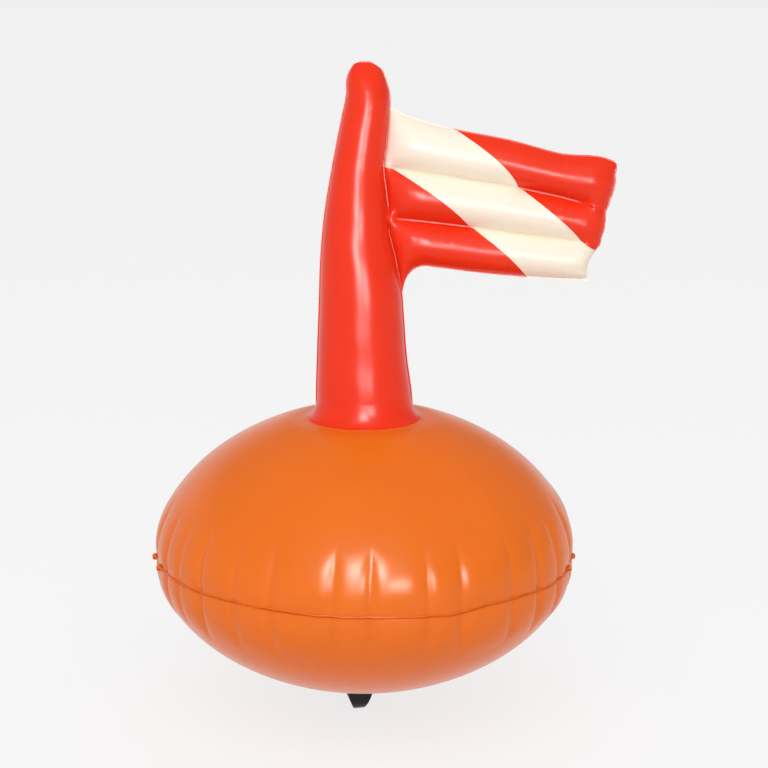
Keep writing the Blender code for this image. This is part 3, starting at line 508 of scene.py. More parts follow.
def close_film(piece, thickness, offset, outwards):
    """Merge the film's seams, turn its faces the way that outwards points and give it a wall."""
    edit_all(piece)
    bpy.ops.mesh.remove_doubles(threshold=MERGE_DISTANCE)
    bpy.ops.object.mode_set(mode="OBJECT")
    lean = sum(face.area * outwards(face.center).dot(face.normal) for face in piece.data.polygons)
    if lean < 0:
        bpy.ops.object.mode_set(mode="EDIT")
        bpy.ops.mesh.flip_normals()
        bpy.ops.object.mode_set(mode="OBJECT")
    apply_modifier(piece, "SOLIDIFY", thickness=thickness, offset=offset, use_even_offset=False)
    smooth_shade(piece, 60)


def outline_rows(rise, last_angle, rows, sizes):
    """Radius, height and outward normal of the float's outline, from the weld upwards."""
    angle = last_angle * np.linspace(0.0, 1.0, rows + 1) ** ROW_SPREAD
    bend = 2 / sizes.power
    radius = sizes.radius * np.cos(angle) ** bend
    height = rise * np.sin(angle) ** bend
    across = (radius / sizes.radius) ** (sizes.power - 1) / sizes.radius
    up = (height / rise) ** (sizes.power - 1) / rise
    size = np.hypot(across, up)
    return radius, height, across / size, up / size


def arc_apart(turn, place, sizes):
    """Length of weld between two places round the float, both in turns."""
    return np.abs((turn - place + 0.5) % 1.0 - 0.5) * tau * sizes.radius


def pleat_push(turn, distance, reach, sizes):
    """How far the film is pushed out along its normal: rows of distance by columns of turn."""
    away = distance[:, None]
    push = np.zeros((len(distance), len(turn)))
    pairs = zip(PLEAT_SHARES, PLEAT_SHARES[1:] + PLEAT_SHARES[:1])
    for (start, depth, far, slant), (end, end_depth, end_far, end_slant) in pairs:
        first = start + slant * away
        width = (end - start) % 1.0 + (end_slant - slant) * away
        part = ((turn[None, :] - first) % 1.0) / width
        inside = part < 1.0
        across = tau * sizes.radius * width
        beside = np.abs(2 * part - 1)
        flat = sizes.flatness * across ** 2 / (8 * sizes.radius) * (1 - beside ** 2)
        lobe = sizes.slope * across / LOBE_SPAN * (1 - beside ** LOBE_POWER)
        lobe = lobe * (LOBE_FULL - np.exp(-away / sizes.roll))
        lobe = (lobe - flat) * fading((away / reach) ** LOBE_FADE_POWER)
        early = depth * fading(away / (reach * far)) ** PLEAT_FADE_POWER
        late = end_depth * fading(away / (reach * end_far)) ** PLEAT_FADE_POWER
        pull = sizes.pull * (early * (1 - part) + late * part) + WELD_DRAW * fading(away / reach)
        soft = sizes.crease_width * (1 + CREASE_SPREAD * away)
        crease = early * np.exp(-part * across / soft) + late * np.exp(-(1 - part) * across / soft)
        push += np.where(inside, lobe - pull - sizes.crease * crease, 0.0)
    return push


def twin_pleat(turn, distance, sizes):
    """A short second pleat that runs into the deepest one at the front."""
    away = distance[:, None]
    apart = arc_apart(turn[None, :], TWIN_PLACE - TWIN_SLANT * away, sizes)
    width = TWIN_WIDTH + TWIN_SPREAD * away
    return -TWIN_DEPTH * fading(away / TWIN_REACH) * np.exp(-(apart / width) ** TWIN_POWER)


def small_puckers(turn, distance, sizes, seed):
    """Short creases that stand on the weld between the pleats."""
    draw = np.random.default_rng(seed)
    push = np.zeros((len(distance), len(turn)))
    for place in np.sort(draw.uniform(0.0, 1.0, PUCKER_COUNT)):
        far = draw.uniform(*PUCKER_REACH)
        deep = draw.uniform(*PUCKER_DEPTH)
        width = draw.uniform(*PUCKER_WIDTH)
        across = np.exp(-(arc_apart(turn, place, sizes) / width) ** 2)
        push -= deep * fading(distance / far)[:, None] * across[None, :]
    return push


def weld_knots(turn, sizes):
    """How far the weld flange stands out where it has caught a fold, along the turn."""
    knots = [(row[0], PLEAT_KNOT_SHARE * row[1]) for row in PLEAT_SHARES] + list(KNOT_SHARES)
    total = np.zeros_like(turn)
    for place, size in knots:
        total += sizes.knot * size * np.exp(-(arc_apart(turn, place, sizes) / KNOT_WIDTH) ** 2)
    return total


def shell_points(rise, last_angle, reach, side, seed, sizes):
    """Points of a shell's outer side from the weld's edge inwards, and where it is welded."""
    radius, height, across, up = outline_rows(rise, last_angle, sizes.rows, sizes)
    distance = np.concatenate(([0.0], np.cumsum(np.hypot(np.diff(radius), np.diff(height)))))
    turn = np.linspace(0.0, 1.0, sizes.columns + 1)
    push = pleat_push(turn, distance, reach, sizes) + small_puckers(turn, distance, sizes, seed)
    push += twin_pleat(turn, distance, sizes)
    push *= 1.0 if side > 0 else sizes.lower_depth
    ring = radius[:, None] + push * across[:, None]
    level = height[:, None] + push * up[:, None]
    level[0] = 0.0
    flange = np.array(FLANGE_STEPS)
    knots = weld_knots(turn, sizes)
    swell = sizes.bead * (1 + BEAD_UNEVEN * ripple(turn, *BEAD_WAVES)) + BEAD_KNOT_SHARE * knots
    bead = np.sqrt(1 - (2 * flange - 1) ** 2)[:, None] * swell
    flutter = sizes.flutter * ripple(turn, *FLUTTER_WAVES)
    wide = sizes.weld * (1 + FLANGE_UNEVEN * ripple(turn, *FLANGE_WAVES)) + knots
    rim = ring[0] + wide * flange[:, None]
    bend = bead + side * flutter * (flange ** 2)[:, None]
    if side > 0:
        level -= seat_dip(ring, sizes)
    ring = np.concatenate((rim, ring))
    level = np.concatenate((bend, level)) + sizes.film
    slow = sizes.wave * smooth_value(WELD_WAVE_SHARES, turn)
    away = np.concatenate((np.zeros(len(flange)), distance))
    lift = slow[None, :] * (fading(away / (WAVE_REACH * reach)) ** 2)[:, None]
    hang = 1 + DROOP_UNEVEN * ripple(turn, *DROOP_WAVES)
    lift[:len(flange)] -= sizes.droop * (flange ** 2)[:, None] * hang
    angle = turn * tau
    x = ring * np.sin(angle)
    if side < 0:
        undrawn = np.clip((ring - sizes.drawn_low) / (sizes.drawn_high - sizes.drawn_low), 0.0, 1.0)
        x = x - AXIS * (1 - smooth_step(undrawn))
    points = np.stack((AXIS + x, -ring * np.cos(angle), WELD_HEIGHT + side * level + lift), axis=-1)
    weld = np.zeros(points.shape[:2])
    weld[:len(flange) + 1] = 1.0
    return points, weld


def outline_angle(radius, sizes):
    return np.arccos((radius / sizes.radius) ** (sizes.power / 2))


def seat_dip(radius, sizes):
    """How far the collar draws the upper film down at a radius."""
    seat = bpy.context.scene.flag_sizes.collar_rim
    return sizes.seat_drop * np.exp(-((radius - seat) / sizes.seat_width) ** 2)


def outline_share(radius, sizes):
    """Height of the float's outline at a radius, as a share of its height at the pole."""
    return (1 - (radius / sizes.radius) ** sizes.power) ** (1 / sizes.power)


def float_height(radius, sizes):
    """Height of the upper film over the weld at a radius."""
    return sizes.rise * outline_share(radius, sizes) - seat_dip(radius, sizes)


def mast_edges(height, sizes):
    part = height / sizes.height
    return (sizes.foot_radius * smooth_value(MAST_SHARES, part, 1),
            sizes.foot_radius * smooth_value(MAST_SHARES, part, 2))


def flag_span(sizes):
    """How far the flag reaches past the mast at its foot."""
    return sizes.reach - mast_edges(sizes.foot, sizes)[1]


def flag_line(line, along, sizes):
    """Points of one of the flag's long lines at shares of the way from mast to fly."""
    table = FLAG_LINE_SHARES[line]
    start = mast_edges(sizes.foot + sizes.hoist * table[0][1], sizes)[1]
    across = start + (sizes.reach * table[-1][0] - start) * along
    followed = table[0][0] + (table[-1][0] - table[0][0]) * along
    up = sizes.foot + sizes.hoist * smooth_value(table, followed)
    return across, up


def flag_point(along, channel, part, sizes):
    """Point in a channel, at a share along the flag and a part of the way up the channel."""
    low_across, low = flag_line(channel, along, sizes)
    high_across, high = flag_line(channel + 1, along, sizes)
    up = low + (high - low) * part
    across = low_across + (high_across - low_across) * part
    hoist_low = flag_line(channel, 0.0, sizes)
    hoist_high = flag_line(channel + 1, 0.0, sizes)
    hoist_up = hoist_low[1] + (hoist_high[1] - hoist_low[1]) * part
    straight = hoist_low[0] + (hoist_high[0] - hoist_low[0]) * part
    across = across + (mast_edges(hoist_up, sizes)[1] - straight) * (1 - along)
    late = np.minimum(along, 1.0) ** FLY_BULGE_POWER
    across = across + sizes.reach * FLY_BULGE_SHARES[channel] * np.sin(pi * part) * late
    return across, up


def channel_height(along, channel, sizes):
    return flag_line(channel + 1, along, sizes)[1] - flag_line(channel, along, sizes)[1]


def rounded(distance, radius):
    """Share of a round edge's full height at a distance in from where it starts."""
    inside = np.clip(distance / radius, 0.0, 1.0)
    return np.sqrt(1 - (1 - inside) ** 2)


def line_opening(along):
    """How far the film is free of a weld line: 0 along it, up to 1 past its two ends."""
    before = np.maximum(0.0, 1 - along / WELD_LINE_START_SHARE)
    after = np.clip(2 * (along - WELD_LINE_END_SHARE) / (1 - WELD_LINE_END_SHARE), 0.0, 1.0)
    return np.maximum(before, after)


def channel_welds(channel, sizes):
    """Width of the weld below and above a channel, inside the channel's own lines."""
    low = sizes.weld if channel == 0 else sizes.line / 2
    high = sizes.weld if channel == TOP_CHANNEL else sizes.line / 2
    return low, high


def flag_swell(along, channel, blown, sizes):
    """Height of the film above the weld plane in a channel."""
    span = flag_span(sizes)
    height = channel_height(along, channel, sizes)
    hoist_end = rounded(along * span, height * HOIST_ROUND_SHARE)
    fly_end = rounded((1 - along) * span - sizes.weld, height / 2)
    bulge = (0.25 + FLAG_FULLNESS_SHARE ** 2) / (2 * FLAG_FULLNESS_SHARE)
    curve = (sqrt(bulge ** 2 - (blown - 0.5) ** 2) - bulge) / FLAG_FULLNESS_SHARE + 1
    free = LINE_END_RISE_SHARE * line_opening(along)
    has_line = channel > 0 if blown < 0.5 else channel < TOP_CHANNEL
    floor = free * has_line
    lifted = np.sqrt(floor ** 2 + (1 - floor ** 2) * curve ** 2)
    return FLAG_FULLNESS_SHARE * height * hoist_end * fly_end * lifted


def air_gap_swell(height, distance, sizes):
    """Height of the film in the opening between mast and flag, at a distance from the weld."""
    middle = sizes.foot + sizes.hoist * FLAG_LINE_SHARES[1][0][1]
    inside = fading((2 * (height - middle) / sizes.air_gap) ** 2)
    return sizes.air_bulge * np.sqrt(inside) * np.exp(-(distance / AIR_GAP_REACH) ** 2)


def flag_rows():
    """Rows of the flag's film, lowest first: channel, place in it and blown share.

    A place is -1 or 1 for the outer edge of the lowest or the highest weld, and 0 between them.
    The blown share is 0 at the channel's lower weld and 1 at its upper one."""
    spread = (1 - np.cos(pi * np.arange(CHANNEL_STEPS + 1) / CHANNEL_STEPS)) / 2
    rows = [(0, -1, 0.0)]
    for channel in range(TOP_CHANNEL + 1):
        rows.extend((channel, 0, blown) for blown in spread)
    rows.append((TOP_CHANNEL, 1, 1.0))
    return rows


def in_outer_weld(channel, place, blown):
    """Whether a row lies in the weld round the flag and not in a weld line."""
    return place or (channel == 0 and blown == 0.0) or (channel == TOP_CHANNEL and blown == 1.0)


def row_part(along, channel, place, blown, sizes):
    """How far up its channel a row lies, between the welds that bound the channel."""
    if place:
        return (place + 1) / 2 + 0.0 * along
    height = channel_height(along, channel, sizes)
    low, high = channel_welds(channel, sizes)
    return (low + blown * (height - low - high)) / height


def film_relief(across, up):
    """Slight unevenness of blown film, away from its welds."""
    rising = ripple(up + 0.35 * across, *RISING_WAVES)
    return RELIEF_DEPTH * (rising * ripple(across + 0.2 * up, *CROSSING_WAVES))


def edge_puckers(along_edge, distance, reach, depth, seed):
    """Small creases that run in from a welded edge."""
    wave = ripple(along_edge, EDGE_PUCKER_WAVES, seed)
    return depth * wave * np.exp(-distance / reach)


def flag_surface(along, channel, place, blown, sizes):
    """Across, depth and height of a row of the flag's film over its share along the flag."""
    span = flag_span(sizes)
    part = row_part(along, channel, place, blown, sizes)
    x, z = flag_point(along, channel, part, sizes)
    y = np.zeros_like(x) if place else flag_swell(along, channel, blown, sizes)
    edge = min(blown, 1 - blown) * channel_height(along, channel, sizes)
    free = np.clip(y / RELIEF_WHOLE, 0.0, 1.0)
    y = y + free * (film_relief(x, z) + edge_puckers(x, edge, *LINE_PUCKERS[channel])
                    + edge_puckers(z, (1 - along) * span, *FLY_PUCKERS)
                    + edge_puckers(z, along * span, *HOIST_PUCKERS))
    y = np.hypot(y, air_gap_swell(z, along * span, sizes))
    x = x + np.clip(along, 0.0, 1.0) ** FLY_WAVE_POWER * FLY_WAVE * ripple(z, *FLY_WAVES)
    return x, y, z


def flag_film(sizes, columns=150):
    """Points of the flag's film before it is put to one side of the weld plane."""
    span = flag_span(sizes)
    along = np.linspace(0.0, 1.0, columns + 1) ** COLUMN_SPREAD
    along = np.append(along * (1 - sizes.weld / span), 1.0)
    across, depth, up, weld = [], [], [], []
    for channel, place, blown in flag_rows():
        x, y, z = flag_surface(along, channel, place, blown, sizes)
        across.append(x)
        depth.append(y)
        up.append(z)
        # Weld share of each row, which sets its ribs and its pale tint: partly whitened film, partly
        # a painted glint along the weld lines
        line = (blown in (0.0, 1.0)) * fading(line_opening(along) * 3)
        weld.append(np.full_like(x, EDGE_WELD_AND_GLINT) if in_outer_weld(channel, place, blown) else line)
    return np.array(across), np.array(up), np.array(depth), np.array(weld)


def mast_film(sizes, columns=64, low_rows=72, tip_rows=48):
    """Points of the mast's film; its rows beside the flag are the flag's rows."""
    flag = [flag_surface(np.zeros(1), channel, place, blown, sizes)[2][0]
            for channel, place, blown in flag_rows()]
    top = sizes.height - sizes.weld
    low = sizes.foot * np.linspace(0.0, 1.0, low_rows + 1)[:-1]
    tip = flag[-1] + (top - flag[-1]) * np.sin(pi / 2 * np.linspace(0.0, 1.0, tip_rows + 1)[1:])
    height = np.concatenate((low, flag, tip, [sizes.height]))
    left, right = mast_edges(height, sizes)
    width = np.minimum(np.minimum(sizes.weld, FOOT_WELD + height / 10), (right - left) / 4)
    half = (right - left) / 2 - width
    middle = (left + right) / 2
    turn = pi * np.linspace(0.0, 1.0, columns + 1)
    cap = rounded(top - height, TIP_ROUND_SHARE * sizes.foot_radius / 2)
    across = middle[:, None] - half[:, None] * np.cos(turn)[None, :]
    depth = (sizes.fullness * half * cap)[:, None] * np.sin(turn)[None, :]
    tall = np.repeat(height[:, None], columns + 1, axis=1)
    edge = half[:, None] * (1 - np.abs(np.cos(turn)))[None, :]
    relief = film_relief(across, tall) + edge_puckers(tall, edge, *MAST_PUCKERS)
    foot = np.clip(height / FOOT_CALM, 0.0, 1.0)[:, None]
    depth = depth + np.clip(depth / RELIEF_WHOLE, 0.0, 1.0) * relief * foot
    gap = air_gap_swell(tall, right[:, None] - across, sizes) * (turn > pi / 2)
    depth = np.hypot(depth, gap)
    bulge = air_gap_swell(height, 0.0 * height, sizes)
    zero = np.zeros_like(height)
    across = np.column_stack((left, across, right))
    depth = np.column_stack((zero, depth, bulge))
    tall = np.column_stack((height, tall, height))
    weld = np.zeros_like(across)
    weld[:, :2] = EDGE_WELD_AND_GLINT
    weld[-2:, :] = EDGE_WELD_AND_GLINT
    # The row beside the flag's weld takes the full weld share and the row before it a part: a pale
    # line that is partly a painted glint along that weld
    beside = (height >= sizes.foot) & (bulge < CLOSED_GAP)
    weld[:, -1] = beside
    weld[:, -2] = beside * BESIDE_WELD_AND_GLINT
    return across, tall, depth, weld


def sheet_points(film, side):
    across, up, depth, weld = film
    return np.stack((AXIS + across, side * (depth + SHEET_GAP), MAST_FOOT + up), axis=-1), weld


def make_sheet(name, side, sizes):
    """One of the two sheets that are welded into mast and flag."""
    mast = lay_film(name, *sheet_points(mast_film(sizes), side))
    flag = lay_film(name + "_flag", *sheet_points(flag_film(sizes), side))
    pick(mast, flag)
    bpy.ops.object.join()
    close_film(mast, sizes.film, 1.0, lambda place: Vector((0.0, side, 0.0)))
    return mast


def stripe_span(channel, part):
    """Where the stripe begins and ends along the flag, at a part of the way up a channel."""
    def read(edge):
        low, high, bow = edge
        return low + (high - low) * part + 4 * bow * part * (1 - part)
    start = read(STRIPE_LOWER_SHARES[channel]) if channel < TOP_CHANNEL else 0.0
    return max(start, 0.0), min(1.0, read(STRIPE_UPPER_SHARES[channel]))


def make_stripe(name, side, sizes, columns=120):
    """The printed diagonal, laid on a sheet and following its channels."""
    rows = []
    for channel, place, blown in flag_rows():
        part = float(row_part(0.5, channel, place, blown, sizes))
        start, end = stripe_span(channel, part)
        x, y, z = flag_surface(np.linspace(start, end, columns + 1), channel, place, blown, sizes)
        rows.append(np.stack((AXIS + x, y, MAST_FOOT + z), axis=-1))
    points = np.array(rows)
    normal = np.cross(np.gradient(points, axis=0), np.gradient(points, axis=1))
    normal *= np.sign(normal[..., 1:2] + 1e-9)
    normal /= np.linalg.norm(normal, axis=2, keepdims=True) + 1e-12
    points = points + normal * (sizes.film + PRINT_GAP)
    points[..., 1] *= side
    # Weld lines across the stripe, whose paler tint is partly a painted glint
    weld = np.zeros(points.shape[:2])
    for row, (channel, place, blown) in enumerate(flag_rows()):
        weld[row] = blown in (0.0, 1.0) and not in_outer_weld(channel, place, blown)
    stripe = lay_film(name, points, weld)
    close_film(stripe, sizes.print_film, 1.0, lambda place: Vector((0.0, side, 0.0)))
    return stripe


def turned(name, profile, sides=72, closed=False):
    """A ring drawn up through a profile of (radius, height) points by extrude and scale."""
    clear_selection()
    bpy.ops.mesh.primitive_circle_add(vertices=sides, radius=profile[0][0],
                                      location=(0.0, 0.0, profile[0][1]))
    piece = name_piece(name)
    bpy.ops.object.transform_apply(location=True)
    edit_all(piece)
    rings = list(profile[1:]) + ([profile[0]] if closed else [])
    radius, height = profile[0]
    for next_radius, next_height in rings:
        bpy.ops.mesh.extrude_edges_move(
            TRANSFORM_OT_translate={"value": (0.0, 0.0, next_height - height)})
        scale = next_radius / radius
        bpy.ops.transform.resize(value=(scale, scale, 1.0),
                                 center_override=(0.0, 0.0, next_height))
        radius, height = next_radius, next_height
    bpy.ops.mesh.select_all(action="SELECT")
    bpy.ops.mesh.remove_doubles(threshold=RING_MERGE_DISTANCE)
    if not closed:
        bpy.ops.mesh.select_all(action="DESELECT")
        bpy.ops.mesh.select_non_manifold()
        bpy.ops.mesh.fill_holes(sides=0)
    bpy.ops.mesh.select_all(action="SELECT")
    bpy.ops.mesh.normals_make_consistent(inside=False)
    bpy.ops.object.mode_set(mode="OBJECT")
    return piece


def move_mesh(piece, matrix):
    """Put a piece in its place with its object left at the origin."""
    pick(piece)
    piece.matrix_world = matrix
    bpy.ops.object.transform_apply(location=True, rotation=True, scale=True)


def arc(centre, radius, start, end, steps):
    """Points along an arc, angles in degrees from the first axis towards the second."""
    angles = [radians(start + (end - start) * step / steps) for step in range(steps + 1)]
    return [(centre[0] + radius * cos(angle), centre[1] + radius * sin(angle)) for angle in angles]


def make_collar(floats, flags):
    """Ring that is welded flat on the float and flares up into the mast's foot."""
    def seat(radius):
        return float_height(radius, floats) + WELD_HEIGHT + floats.film + COLLAR_GAP
    top, rim = flags.collar_top, flags.collar_rim
    high, low = MAST_FOOT + flags.collar_rise, seat(rim) + COLLAR_EDGE
    slope = (seat(rim) - seat(rim - SLOPE_STEP)) / SLOPE_STEP
    lean, fall, run = FLARE_HANDLES
    ends = ((top, high), (top + lean, high - fall), (rim - run, low - run * slope), (rim, low))
    flare = []
    for step in range(FLARE_STEPS + 1):
        part = step / FLARE_STEPS
        back = 1 - part
        weights = (back ** 3, 3 * part * back ** 2, 3 * part ** 2 * back, part ** 3)
        flare.append(tuple(sum(weight * end[axis] for weight, end in zip(weights, ends))
                           for axis in (0, 1)))
    inner = top - COLLAR_WALL
    profile = flare + [(rim + 0.0001, low - 0.0003), (rim, seat(rim) - 0.0001), (inner, seat(inner)),
                       (inner, high)]
    collar = turned("mast_ring", profile, sides=144, closed=True)
    move_mesh(collar, Matrix.Translation((AXIS, 0.0, 0.0)))
    smooth_shade(collar, 50)
    return collar


def make_block(name, low, high, bevel):
    """A cube primitive stretched between two corners, with rounded edges."""
    clear_selection()
    middle = [(start + end) / 2 for start, end in zip(low, high)]
    bpy.ops.mesh.primitive_cube_add(size=1.0, location=middle)
    block = name_piece(name)
    block.scale = [end - start for start, end in zip(low, high)]
    bpy.ops.object.transform_apply(location=True, rotation=True, scale=True)
    apply_modifier(block, "BEVEL", width=bevel, segments=3, limit_method="NONE")
    return block


def merge_with(piece, other, operation="UNION"):
    """Join another piece to this one, or cut it out, and remove the other."""
    apply_modifier(piece, "BOOLEAN", operation=operation, solver="EXACT", object=other)
    bpy.data.objects.remove(other)
    return piece


def valve_seat(floats, valves):
    """Frame on the film behind the mast, with its Z along the valve's axis."""
    inner = float_height(valves.offset - valves.stem_radius, floats)
    outer = float_height(valves.offset + valves.stem_radius, floats)
    tilt = atan2(inner - outer, 2 * valves.stem_radius)
    height = WELD_HEIGHT + float_height(valves.offset, floats)
    return Matrix.Translation((AXIS, valves.offset, height)) @ Matrix.Rotation(-tilt, 4, "X"), tilt


def make_valve_moulding(valves, tilt):
    """Flange, filleted mouthpiece with a rolled lip, bore, inner tube and ear for the strap."""
    sag = valves.flange_radius ** 2 * sin(tilt) / (2 * valves.offset)
    bore, stem, top = valves.bore_radius, valves.stem_radius, valves.stem_height
    roll, fillet, rim = (stem - bore) / 2, valves.fillet, valves.flange_radius
    edge = valves.flange / 2
    profile = [(bore, -valves.tube_depth), (bore, 0.0)]
    profile += arc(((bore + stem) / 2, top - roll), roll, 180, 0, 10)
    waist = 0.0003
    profile += [(stem, top - 3 * roll), (stem - waist, top - 3.5 * roll)]
    profile += arc((stem + fillet - waist, valves.flange + fillet), fillet, 180, 270, 8)
    groove = valves.flange - 0.6 * sag
    profile += [(rim - 0.0030, groove), (rim - 0.0026, groove - 0.0003)]
    profile += arc((rim - edge, edge - sag), edge, 80, -90, 8)
    profile += [(stem, valves.gap), (stem, -valves.tube_depth)]
    body = turned("valve_moulding", profile, sides=96, closed=True)
    high = (valves.strap_width / 2, valves.head_radius + valves.strap_reach + valves.strap / 2,
            top - valves.strap_step)
    low = (-high[0], (bore + stem) / 2, high[2] - valves.ear_depth)
    return merge_with(body, make_block("strap_ear", low, high, 0.0005))


def make_stopper(valves):
    """Plug with a dished head, a raised rim, a tapered stopper with a bead, and its strap."""
    base = valves.stem_height + valves.gap
    top, tip = base + valves.head, base - valves.plug_depth
    head, neck, end = valves.head_radius, valves.neck_radius, valves.tip_radius
    edge, lip = 0.0010, 0.0004
    profile = [(PIN_RADIUS, top - 0.0005), (0.0040, top - 0.0005), (0.0052, top - 0.0003)]
    profile += arc((head - edge, top - edge), edge, 110, 0, 8)
    profile += arc((head - lip, base + lip), lip, 0, -90, 4)
    profile += [(neck + 0.0003, base), (neck, base - 0.0004)]
    profile += [(end + 0.0002, tip + 0.0022), (end + 0.0005, tip + 0.0014),
                (end + 0.0002, tip + 0.0006)]
    profile += [(end - 0.0005, tip), (PIN_RADIUS, tip)]
    plug = turned("stopper", profile, sides=96)
    hinge = head + valves.strap_reach
    low = (-valves.strap_width / 2, head - 0.0015, base + valves.strap_step)
    high = (valves.strap_width / 2, hinge + valves.strap / 2, low[2] + valves.strap)
    return merge_with(plug, make_block("plug_strap", low, high, 0.0005))


def make_flap_disc(valves):
    """Soft disc with a thicker middle that closes the inner end of the bore, and its strap."""
    high = -(valves.tube_depth + valves.gap)
    low, radius = high - valves.flap, valves.flap_radius
    edge = 0.0004
    profile = [(PIN_RADIUS, high), (radius - edge, high)]
    profile += arc((radius - edge, high - edge), edge, 90, -60, 5)
    profile += [(0.0030, low), (0.0020, low - edge), (PIN_RADIUS, low - edge)]
    flap = turned("flap_disc", profile, sides=96)
    middle = high - valves.flap / 2
    start = (-valves.strap_width / 2, radius - 0.0015, middle - valves.flap_strap / 2)
    end = (valves.strap_width / 2, valves.stem_radius + valves.flap_strap / 2,
           middle + valves.flap_strap / 2)
    return merge_with(flap, make_block("flap_strap", start, end, 0.0003))


def make_line_loop(bases):
    """The lug with the soft, rounded edges of its mould, from a merged copy of the frame's."""
    loop = bpy.data.objects.new("line_loop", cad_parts["line_lug"].data.copy())
    loop.data.name = "line_loop"
    bpy.context.scene.collection.objects.link(loop)
    clean_normals(loop)
    apply_modifier(loop, "REMESH", mode="VOXEL", voxel_size=bases.lug_grain, use_smooth_shade=True)
    apply_modifier(loop, "SMOOTH", factor=0.5, iterations=5)
    spread_tip(loop, bases)
    return loop


def spread_tip(loop, bases):
    """Widen the lug across its eye towards the tip."""
    places = read_places(loop.data)
    across = np.array((cos(bases.lug_turn), sin(bases.lug_turn), 0.0))
    part = np.clip((bases.lug_root - places[:, 2]) / (bases.lug_root + bases.lug_drop), 0.0, 1.0)
    reach = places @ across
    wider = 1 + bases.tip_spread * part
    places += (reach * (wider - 1))[:, None] * across
    write_places(loop.data, places)


def make_ballast_cap(floats, bases):
    """Film cap over the ballast, with a rounded shoulder and a weld all round."""
    def floor(radius):
        return -floats.drop * outline_share(radius, floats)
    film, edge = bases.pocket_film, bases.pocket_edge
    lift = floats.film + 0.0006
    top = floor(0.0) + lift + bases.ballast + film
    side = bases.ballast_radius + 0.0005 + film
    rim = side + bases.pocket_weld
    profile = [(PIN_RADIUS, top), (side - edge, top)]
    profile += arc((side - edge, top - edge), edge, 80, 0, 6)
    profile += [(side, floor(side) + lift + film + 0.0010),
                (side + 0.0012, floor(side) + lift + film)]
    profile += [(rim, floor(rim) + lift + film), (rim, floor(rim) + lift)]
    profile += [(side + 0.0004, floor(side) + lift), (side - film, floor(side) + lift + 0.0010)]
    profile += arc((side - edge, top - edge), edge - film, 0, 80, 6)
    profile += [(PIN_RADIUS, top - film)]
    return turned("ballast_cap", profile, sides=96)


def set_output(tree, name, kind, output):
    tree.interface.new_socket(name=name, in_out="OUTPUT", socket_type=kind)
    tree.links.new(output, tree.nodes["Group Output"].inputs[name])


def new_group(name, inputs):
    """A node group with its group input and output nodes; inputs are (name, type, default)."""
    tree = bpy.data.node_groups.new(name, "ShaderNodeTree")
    for label, kind, default in inputs:
        socket = tree.interface.new_socket(name=label, in_out="INPUT", socket_type=kind)
        if default is not None:
            socket.default_value = default
    tree.nodes.new("NodeGroupInput").name = "Group Input"
    tree.nodes.new("NodeGroupOutput").name = "Group Output"
    return tree


def connect(tree, node, **values):
    """Set or link a node's inputs by name, with underscores for spaces."""
    for label, value in values.items():
        socket = node.inputs[label.replace("_", " ")]
        if isinstance(value, bpy.types.NodeSocket):
            tree.links.new(value, socket)
        elif socket.type == "RGBA":
            socket.default_value = (*value, 1.0)
        else:
            socket.default_value = value
    return node


def new_node(tree, kind, **inputs):
    return connect(tree, tree.nodes.new("ShaderNode" + kind), **inputs)


def add_math(tree, operation, *values):
    node = new_node(tree, "Math")
    node.operation = operation
    for socket, value in zip(node.inputs, values):
        if isinstance(value, bpy.types.NodeSocket):
            tree.links.new(value, socket)
        else:
            socket.default_value = value
    return node.outputs[0]


def film_grain_group():
    """Cast film: slow clouds of thickness and a fine orange peel."""
    tree = new_group("film_grain", (("Coordinates", "NodeSocketVector", None),
                                    ("Cloud size", "NodeSocketFloat", FILM_CLOUD),
                                    ("Peel size", "NodeSocketFloat", FILM_PEEL)))
    source = tree.nodes["Group Input"].outputs
    for name, detail in (("Cloud", 3.0), ("Peel", 1.5)):
        noise = new_node(tree, "TexNoise", Vector=source["Coordinates"], Detail=detail,
                         Scale=source[name + " size"])
        set_output(tree, name, "NodeSocketFloat", noise.outputs["Fac"])
    return tree


def weld_press_group():
    """Mark of the welding bar: a fine cross-ribbed relief where the film is welded."""
    tree = new_group("weld_press", (("Coordinates", "NodeSocketVector", None),
                                    ("Weld", "NodeSocketFloat", 0.0),
                                    ("Rib size", "NodeSocketFloat", 420.0)))
    source = tree.nodes["Group Input"].outputs
    ribs = []
    for axis in ("X", "Z"):
        wave = new_node(tree, "TexWave", Vector=source["Coordinates"], Scale=source["Rib size"])
        wave.bands_direction = axis
        ribs.append(wave.outputs["Fac"])
    crossed = add_math(tree, "MULTIPLY", ribs[0], ribs[1])
    mask = add_math(tree, "SMOOTH_MIN", source["Weld"], 1.0)
    set_output(tree, "Relief", "NodeSocketFloat", add_math(tree, "MULTIPLY", crossed, mask))
    set_output(tree, "Mask", "NodeSocketFloat", mask)
    return tree


def new_material(name, base, roughness, specular=0.5, coat=0.0, metallic=0.0):
    """A material whose even values stand on the shader's own sockets."""
    material = bpy.data.materials.new(name)
    material.use_nodes = True
    tree = material.node_tree
    shader = connect(tree, tree.nodes["Principled BSDF"], Base_Color=base, Roughness=roughness,
                     Specular_IOR_Level=specular, Coat_Weight=coat,
                     Coat_Roughness=COAT_ROUGHNESS, Metallic=metallic)
    return tree, shader


def place_group(tree, group, **values):
    node = new_node(tree, "Group")
    node.node_tree = group
    return connect(tree, node, **values).outputs


def mix_colour(tree, factor, first, second):
    mix = new_node(tree, "Mix")
    mix.data_type = "RGBA"
    return connect(tree, mix, Factor=factor, A=first, B=second).outputs["Result"]


def object_coordinates(tree):
    return new_node(tree, "TexCoord").outputs["Object"]


def weld_attribute(tree):
    node = new_node(tree, "Attribute")
    node.attribute_name = "weld"
    return node.outputs["Fac"]


def shade(base, amount):
    return tuple(min(1.0, channel * amount) for channel in base)


